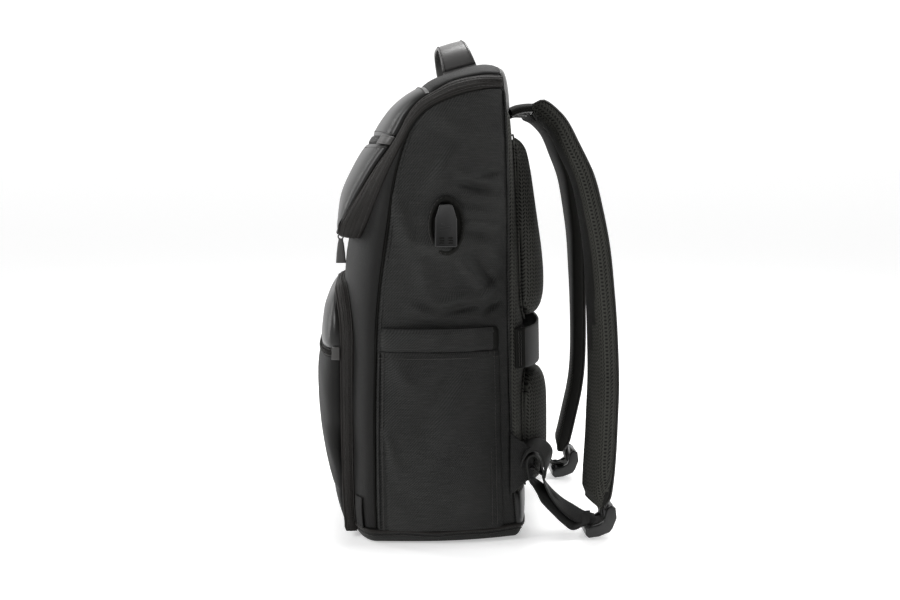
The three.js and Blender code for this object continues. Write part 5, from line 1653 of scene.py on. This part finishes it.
class BACKPACK_OT_shoulder_straps(BackpackOperator, bpy.types.Operator):
    """Builds the padded shoulder straps, their bindings and the anchors that hold them"""

    bl_idname = "backpack.shoulder_straps"
    bl_label = "Shoulder straps"

    def build(self):
        for label, side in SIDES:
            swing = 0 if side > 0 else LEFT_SWING
            at, middle, across, out = strap_line(0, 1.95, 30, swing, side)
            mesh = band_mesh("anchor", middle + out * 0.0012, across, out, 0.030, 0.0045, 24, 3.5, 0.2)
            # The anchor takes the darker lining finish, painted shade that darkens its top where the lights
            # fall on it.
            dress("strap_anchor_" + label, mesh, "lining_and_shade", ["strap_anchor_" + label])
            under = band_mesh("anchor strip", middle, across, out, 0.029, 0.0010, 16, 6.0)
            under.transform(Matrix.Translation((0, 0.0006, -0.0044)))
            dress("strap_anchor_strip_" + label, under, "coated")
            at, middle, across, out = strap_line(STRAP_START - 0.1, STRAP_END, 220, swing, side)
            to_end = np.minimum(at - at[0], STRAP_END - at) / 0.8
            thick = STRAP_THICK / 2 * mix(0.45, 1.0, smooth(to_end))
            neck = smooth((at - NECK_AT) / (STRAP_END - NECK_AT))
            half = mix(STRAP_WIDTH, STRAP_NECK + NECK_EXTRA, neck) / 2
            mesh = band_mesh("strap", middle, across, out, half, thick, 48, 4.5, 0.12)
            strap = dress("shoulder_strap_" + label, mesh, "mesh", ["shoulder_strap_" + label])
            # The outer face is real smooth cloth; the band of the inner face given the lining finish is
            # painted shade.
            two_faced(strap.data, "lining_and_shade", smooth_side_and_painted_shade)
            for edge, name in ((-1, "inner"), (1, "outer")):
                line = middle + across * (half * edge * 0.95)[:, None] - out * (thick * 0.86)[:, None]
                seam(f"strap_piping_{name}_{label}", line, "thread", 0.0010)


class BACKPACK_OT_locks(BackpackOperator, bpy.types.Operator):
    """Builds the ladder locks and the webbing that holds them at the straps' lower ends"""

    bl_idname = "backpack.locks"
    bl_label = "Ladder locks"

    def build(self):
        width, cheek = LOCK_WIDTH, LOCK_CHEEK
        for label, side in SIDES:
            tip = strap_middle(np.array(STRAP_END))
            bm = bmesh.new()
            for edge in (-1, 1):
                low = tip[0] + edge * (width - cheek) / 2 - cheek / 2
                corners = [bm.verts.new((side * low, y, z)) for y, z in zip(LOCK_FRAME["y"], LOCK_FRAME["z"])]
                face = bm.faces.new(corners)
                grown = bmesh.ops.extrude_face_region(bm, geom=[face])
                moved = [v for v in grown["geom"] if isinstance(v, bmesh.types.BMVert)]
                bmesh.ops.translate(bm, vec=(side * cheek, 0, 0), verts=moved)
            bmesh.ops.recalc_face_normals(bm, faces=bm.faces)
            rims = [e for e in bm.edges if any(len(f.verts) > 4 for f in e.link_faces)]
            rounded(bm, rims, 0.0011)
            for y, z, wide, tall in zip(*(LOCK_BARS[k] for k in ("y", "z", "wide", "tall"))):
                spot = Matrix.Translation((side * tip[0], y, z))
                shaped_box(bm, (width - cheek, wide, tall), spot, 0.0022, 3)
            mesh = mesh_from(bm, "lock")
            lock = dress("ladder_lock_" + label, mesh, "plastic", ["ladder_lock_" + label])
            lock.data.set_sharp_from_angle(angle=math.radians(40))
            knots = [tip + np.array(move) for move in ((0, 0.002, 0.012), (0, 0.004, 0.0))]
            knots += [points(tip[0], y, z) for y, z in ((0.1545, 0.0215), (0.1570, 0.0165), (0.1540, 0.0140),
                                                        (0.1480, 0.0130), (0.1440, 0.0115))]
            middle = smooth_line(knots, 60)
            across = points(1.0, 0, 0) + 0 * middle
            out = unit(np.cross(unit(np.gradient(middle, axis=0)), across))
            mesh = band_mesh("tail", sided(middle, side), across, out, WEBBING_WIDTH / 2, 0.0011, 12, 8.0)
            dress("strap_tail_" + label, mesh, "webbing", ["strap_tail_" + label])


class BACKPACK_OT_webbing(BackpackOperator, bpy.types.Operator):
    """Builds the lower tabs and the adjusting webbing with its rolled end"""

    bl_idname = "backpack.webbing"
    bl_label = "Webbing"

    def build(self):
        seam_y = float(wall("back", np.array(TAB_MIDDLE))) * DEPTH
        tab_x = BACK_EDGE + 0.0017
        tip = np.array([tab_x - 0.005, seam_y + TAB_REACH, TAB_MIDDLE])
        for label, side in SIDES:
            share = np.linspace(0, 1, 25)
            middle = points(mix(tab_x, tip[0], share), mix(seam_y - 0.002, tip[1] + 0.002, share), TAB_MIDDLE)
            half = mix(TAB_HEIGHT, WEBBING_WIDTH, share) / 2
            across = points(0.0, 0, 1.0) + 0 * middle
            out = points(1.0, 0, 0) + 0 * middle
            mesh = band_mesh("tab", sided(middle, side), across, out, half, 0.0012, 16, 8.0)
            dress("lower_anchor_tab_" + label, mesh, "cloth", ["lower_anchor_tab_" + label])
            parts = [ribbon_mesh("webbing", WEBBING, side), ribbon_mesh("tail", WEBBING_TAIL, side, 220)]
            dress("strap_webbing_" + label, joined("webbing", parts), "webbing", ["strap_webbing_" + label])


class BACKPACK_OT_pull(BackpackOperator, bpy.types.Operator):
    """Builds the slider and the pull of the main zip"""

    bl_idname = "backpack.pull"
    bl_label = "Zip pull"

    def build(self):
        low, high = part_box("zip_slider")
        centre = (low + high) / 2
        size = high - low
        bm = bmesh.new()
        for height, lift, bevel in ((0.0016, -0.0014, 0.0006), (0.0014, 0.0014, 0.0005)):
            spot = Matrix.Translation(centre + Vector((0, 0, lift)))
            shaped_box(bm, (size.x, size.y, height), spot, bevel, 3)
        shaped_box(bm, (size.x * 0.5, 0.002, size.z * 0.9), Matrix.Translation(centre), 0.0004, 2)
        mesh = mesh_from(bm, "slider")
        dress("zip_slider", mesh, "plastic", ["zip_slider"])
        low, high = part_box("zip_pull")
        centre = (low + high) / 2
        length, wide = high.z - low.z, high.y - low.y
        ring = [(centre.x, centre.y + 0.0026 * math.cos(a), high.z - 0.0018 + 0.0026 * math.sin(a))
                for a in np.linspace(0, 2 * math.pi, 25)]
        parts = [tube_mesh("ring", ring, 0.0008, 8, closed=True)]
        steps = np.linspace(0, 1, 33)
        half = wide / 2 * np.interp(steps, [0, 0.12, 0.2, 0.6, 1], [0.45, 0.5, 0.62, 0.85, 1.0])
        middle = points(centre.x, centre.y, mix(high.z - 0.0035, low.z, steps))
        across = points(0.0, 1.0, 0) + 0 * middle
        out = points(1.0, 0, 0) + 0 * middle
        parts.append(band_mesh("bar", middle, across, out, half, 0.0013, 20, 3.5))
        dress("zip_pull", joined("pull", parts), "coated", ["zip_pull"])


class BACKPACK_OT_stage(BackpackOperator, bpy.types.Operator):
    """Sets the pale floor, the soft lights and the camera"""

    bl_idname = "backpack.stage"
    bl_label = "Stage"

    def build(self):
        scene = bpy.context.scene
        bm = bmesh.new()
        bmesh.ops.create_grid(bm, x_segments=1, y_segments=1, size=30)
        mesh = mesh_from(bm, "floor")
        floor = bpy.data.objects.new("floor", mesh)
        floor.location.z = -0.0005
        scene.collection.objects.link(floor)
        material = bpy.data.materials.new("floor finish")
        material.use_nodes = True
        shader = material.node_tree.nodes["Principled BSDF"]
        shader.inputs["Base Color"].default_value = (0.86, 0.86, 0.86, 1)
        shader.inputs["Roughness"].default_value = 0.32
        shader.inputs["Emission Color"].default_value = (1, 1, 1, 1)
        shader.inputs["Emission Strength"].default_value = 0.42
        mesh.materials.append(material)
        world = scene.world or bpy.data.worlds.new("studio")
        scene.world = world
        world.use_nodes = True
        tree = world.node_tree
        way = add_node(tree, "ShaderNodeTexCoord")
        split = add_node(tree, "ShaderNodeSeparateXYZ", {0: way.outputs["Generated"]})
        glow = ranged(tree, split.outputs[0], -0.9, -0.45, 1.2, 0.16)
        back = tree.nodes["Background"]
        back.inputs["Color"].default_value = (1, 1, 1, 1)
        tree.links.new(glow.outputs[0], back.inputs["Strength"])
        for name, place, target, size, power in LIGHTS:
            data = bpy.data.lights.new(name, "AREA")
            data.shape = "RECTANGLE"
            data.size, data.size_y = size
            data.energy = power
            lamp = bpy.data.objects.new(name, data)
            lamp.location = place
            lamp.rotation_euler = (Vector(target) - Vector(place)).to_track_quat("-Z", "Y").to_euler()
            scene.collection.objects.link(lamp)
        camera = bpy.data.cameras.new("photo")
        camera.sensor_width = 36
        camera.lens = EYE_LENS
        camera.clip_start, camera.clip_end = 0.05, 100
        eye = bpy.data.objects.new("photo camera", camera)
        pitch, yaw = math.radians(EYE_PITCH), math.radians(EYE_YAW)
        ahead = Vector((-math.cos(pitch) * math.cos(yaw), math.cos(pitch) * math.sin(yaw), -math.sin(pitch)))
        right = Vector((math.sin(yaw), math.cos(yaw), 0))
        up = right.cross(ahead)
        eye.matrix_world = axes_matrix(right, up, -ahead, EYE)
        scene.collection.objects.link(eye)
        scene.camera = eye
        scene.view_settings.view_transform = "Standard"


class BACKPACK_PT_panel(bpy.types.Panel):
    """Lists the builders of the backpack."""

    bl_idname = "BACKPACK_PT_panel"
    bl_label = "Laptop backpack"
    bl_space_type = "VIEW_3D"
    bl_region_type = "UI"
    bl_category = "Backpack"

    def draw(self, context):
        given = context.scene.backpack_sizes
        for name in given.bl_rna.properties.keys():
            if name not in {"rna_type", "name"}:
                self.layout.prop(given, name)
        for builder in BUILDERS:
            self.layout.operator(builder.bl_idname)


BUILDERS = (
    BACKPACK_OT_finishes, BACKPACK_OT_body, BACKPACK_OT_base, BACKPACK_OT_lid, BACKPACK_OT_front_pocket,
    BACKPACK_OT_side_pockets, BACKPACK_OT_port, BACKPACK_OT_handle, BACKPACK_OT_back_pads,
    BACKPACK_OT_shoulder_straps, BACKPACK_OT_locks, BACKPACK_OT_webbing, BACKPACK_OT_pull, BACKPACK_OT_stage,
)
CLASSES = (BackpackColours, BackpackSizes, *BUILDERS, BACKPACK_PT_panel)


def register():
    for cls in CLASSES:
        bpy.utils.register_class(cls)
    bpy.types.Scene.backpack_colours = bpy.props.PointerProperty(type=BackpackColours)
    bpy.types.Scene.backpack_sizes = bpy.props.PointerProperty(type=BackpackSizes)


def unregister():
    del bpy.types.Scene.backpack_sizes
    del bpy.types.Scene.backpack_colours
    for cls in reversed(CLASSES):
        bpy.utils.unregister_class(cls)


def main():
    register()
    for builder in BUILDERS:
        group, name = builder.bl_idname.split(".")
        getattr(getattr(bpy.ops, group), name)()


if __name__ == "__main__":
    main()
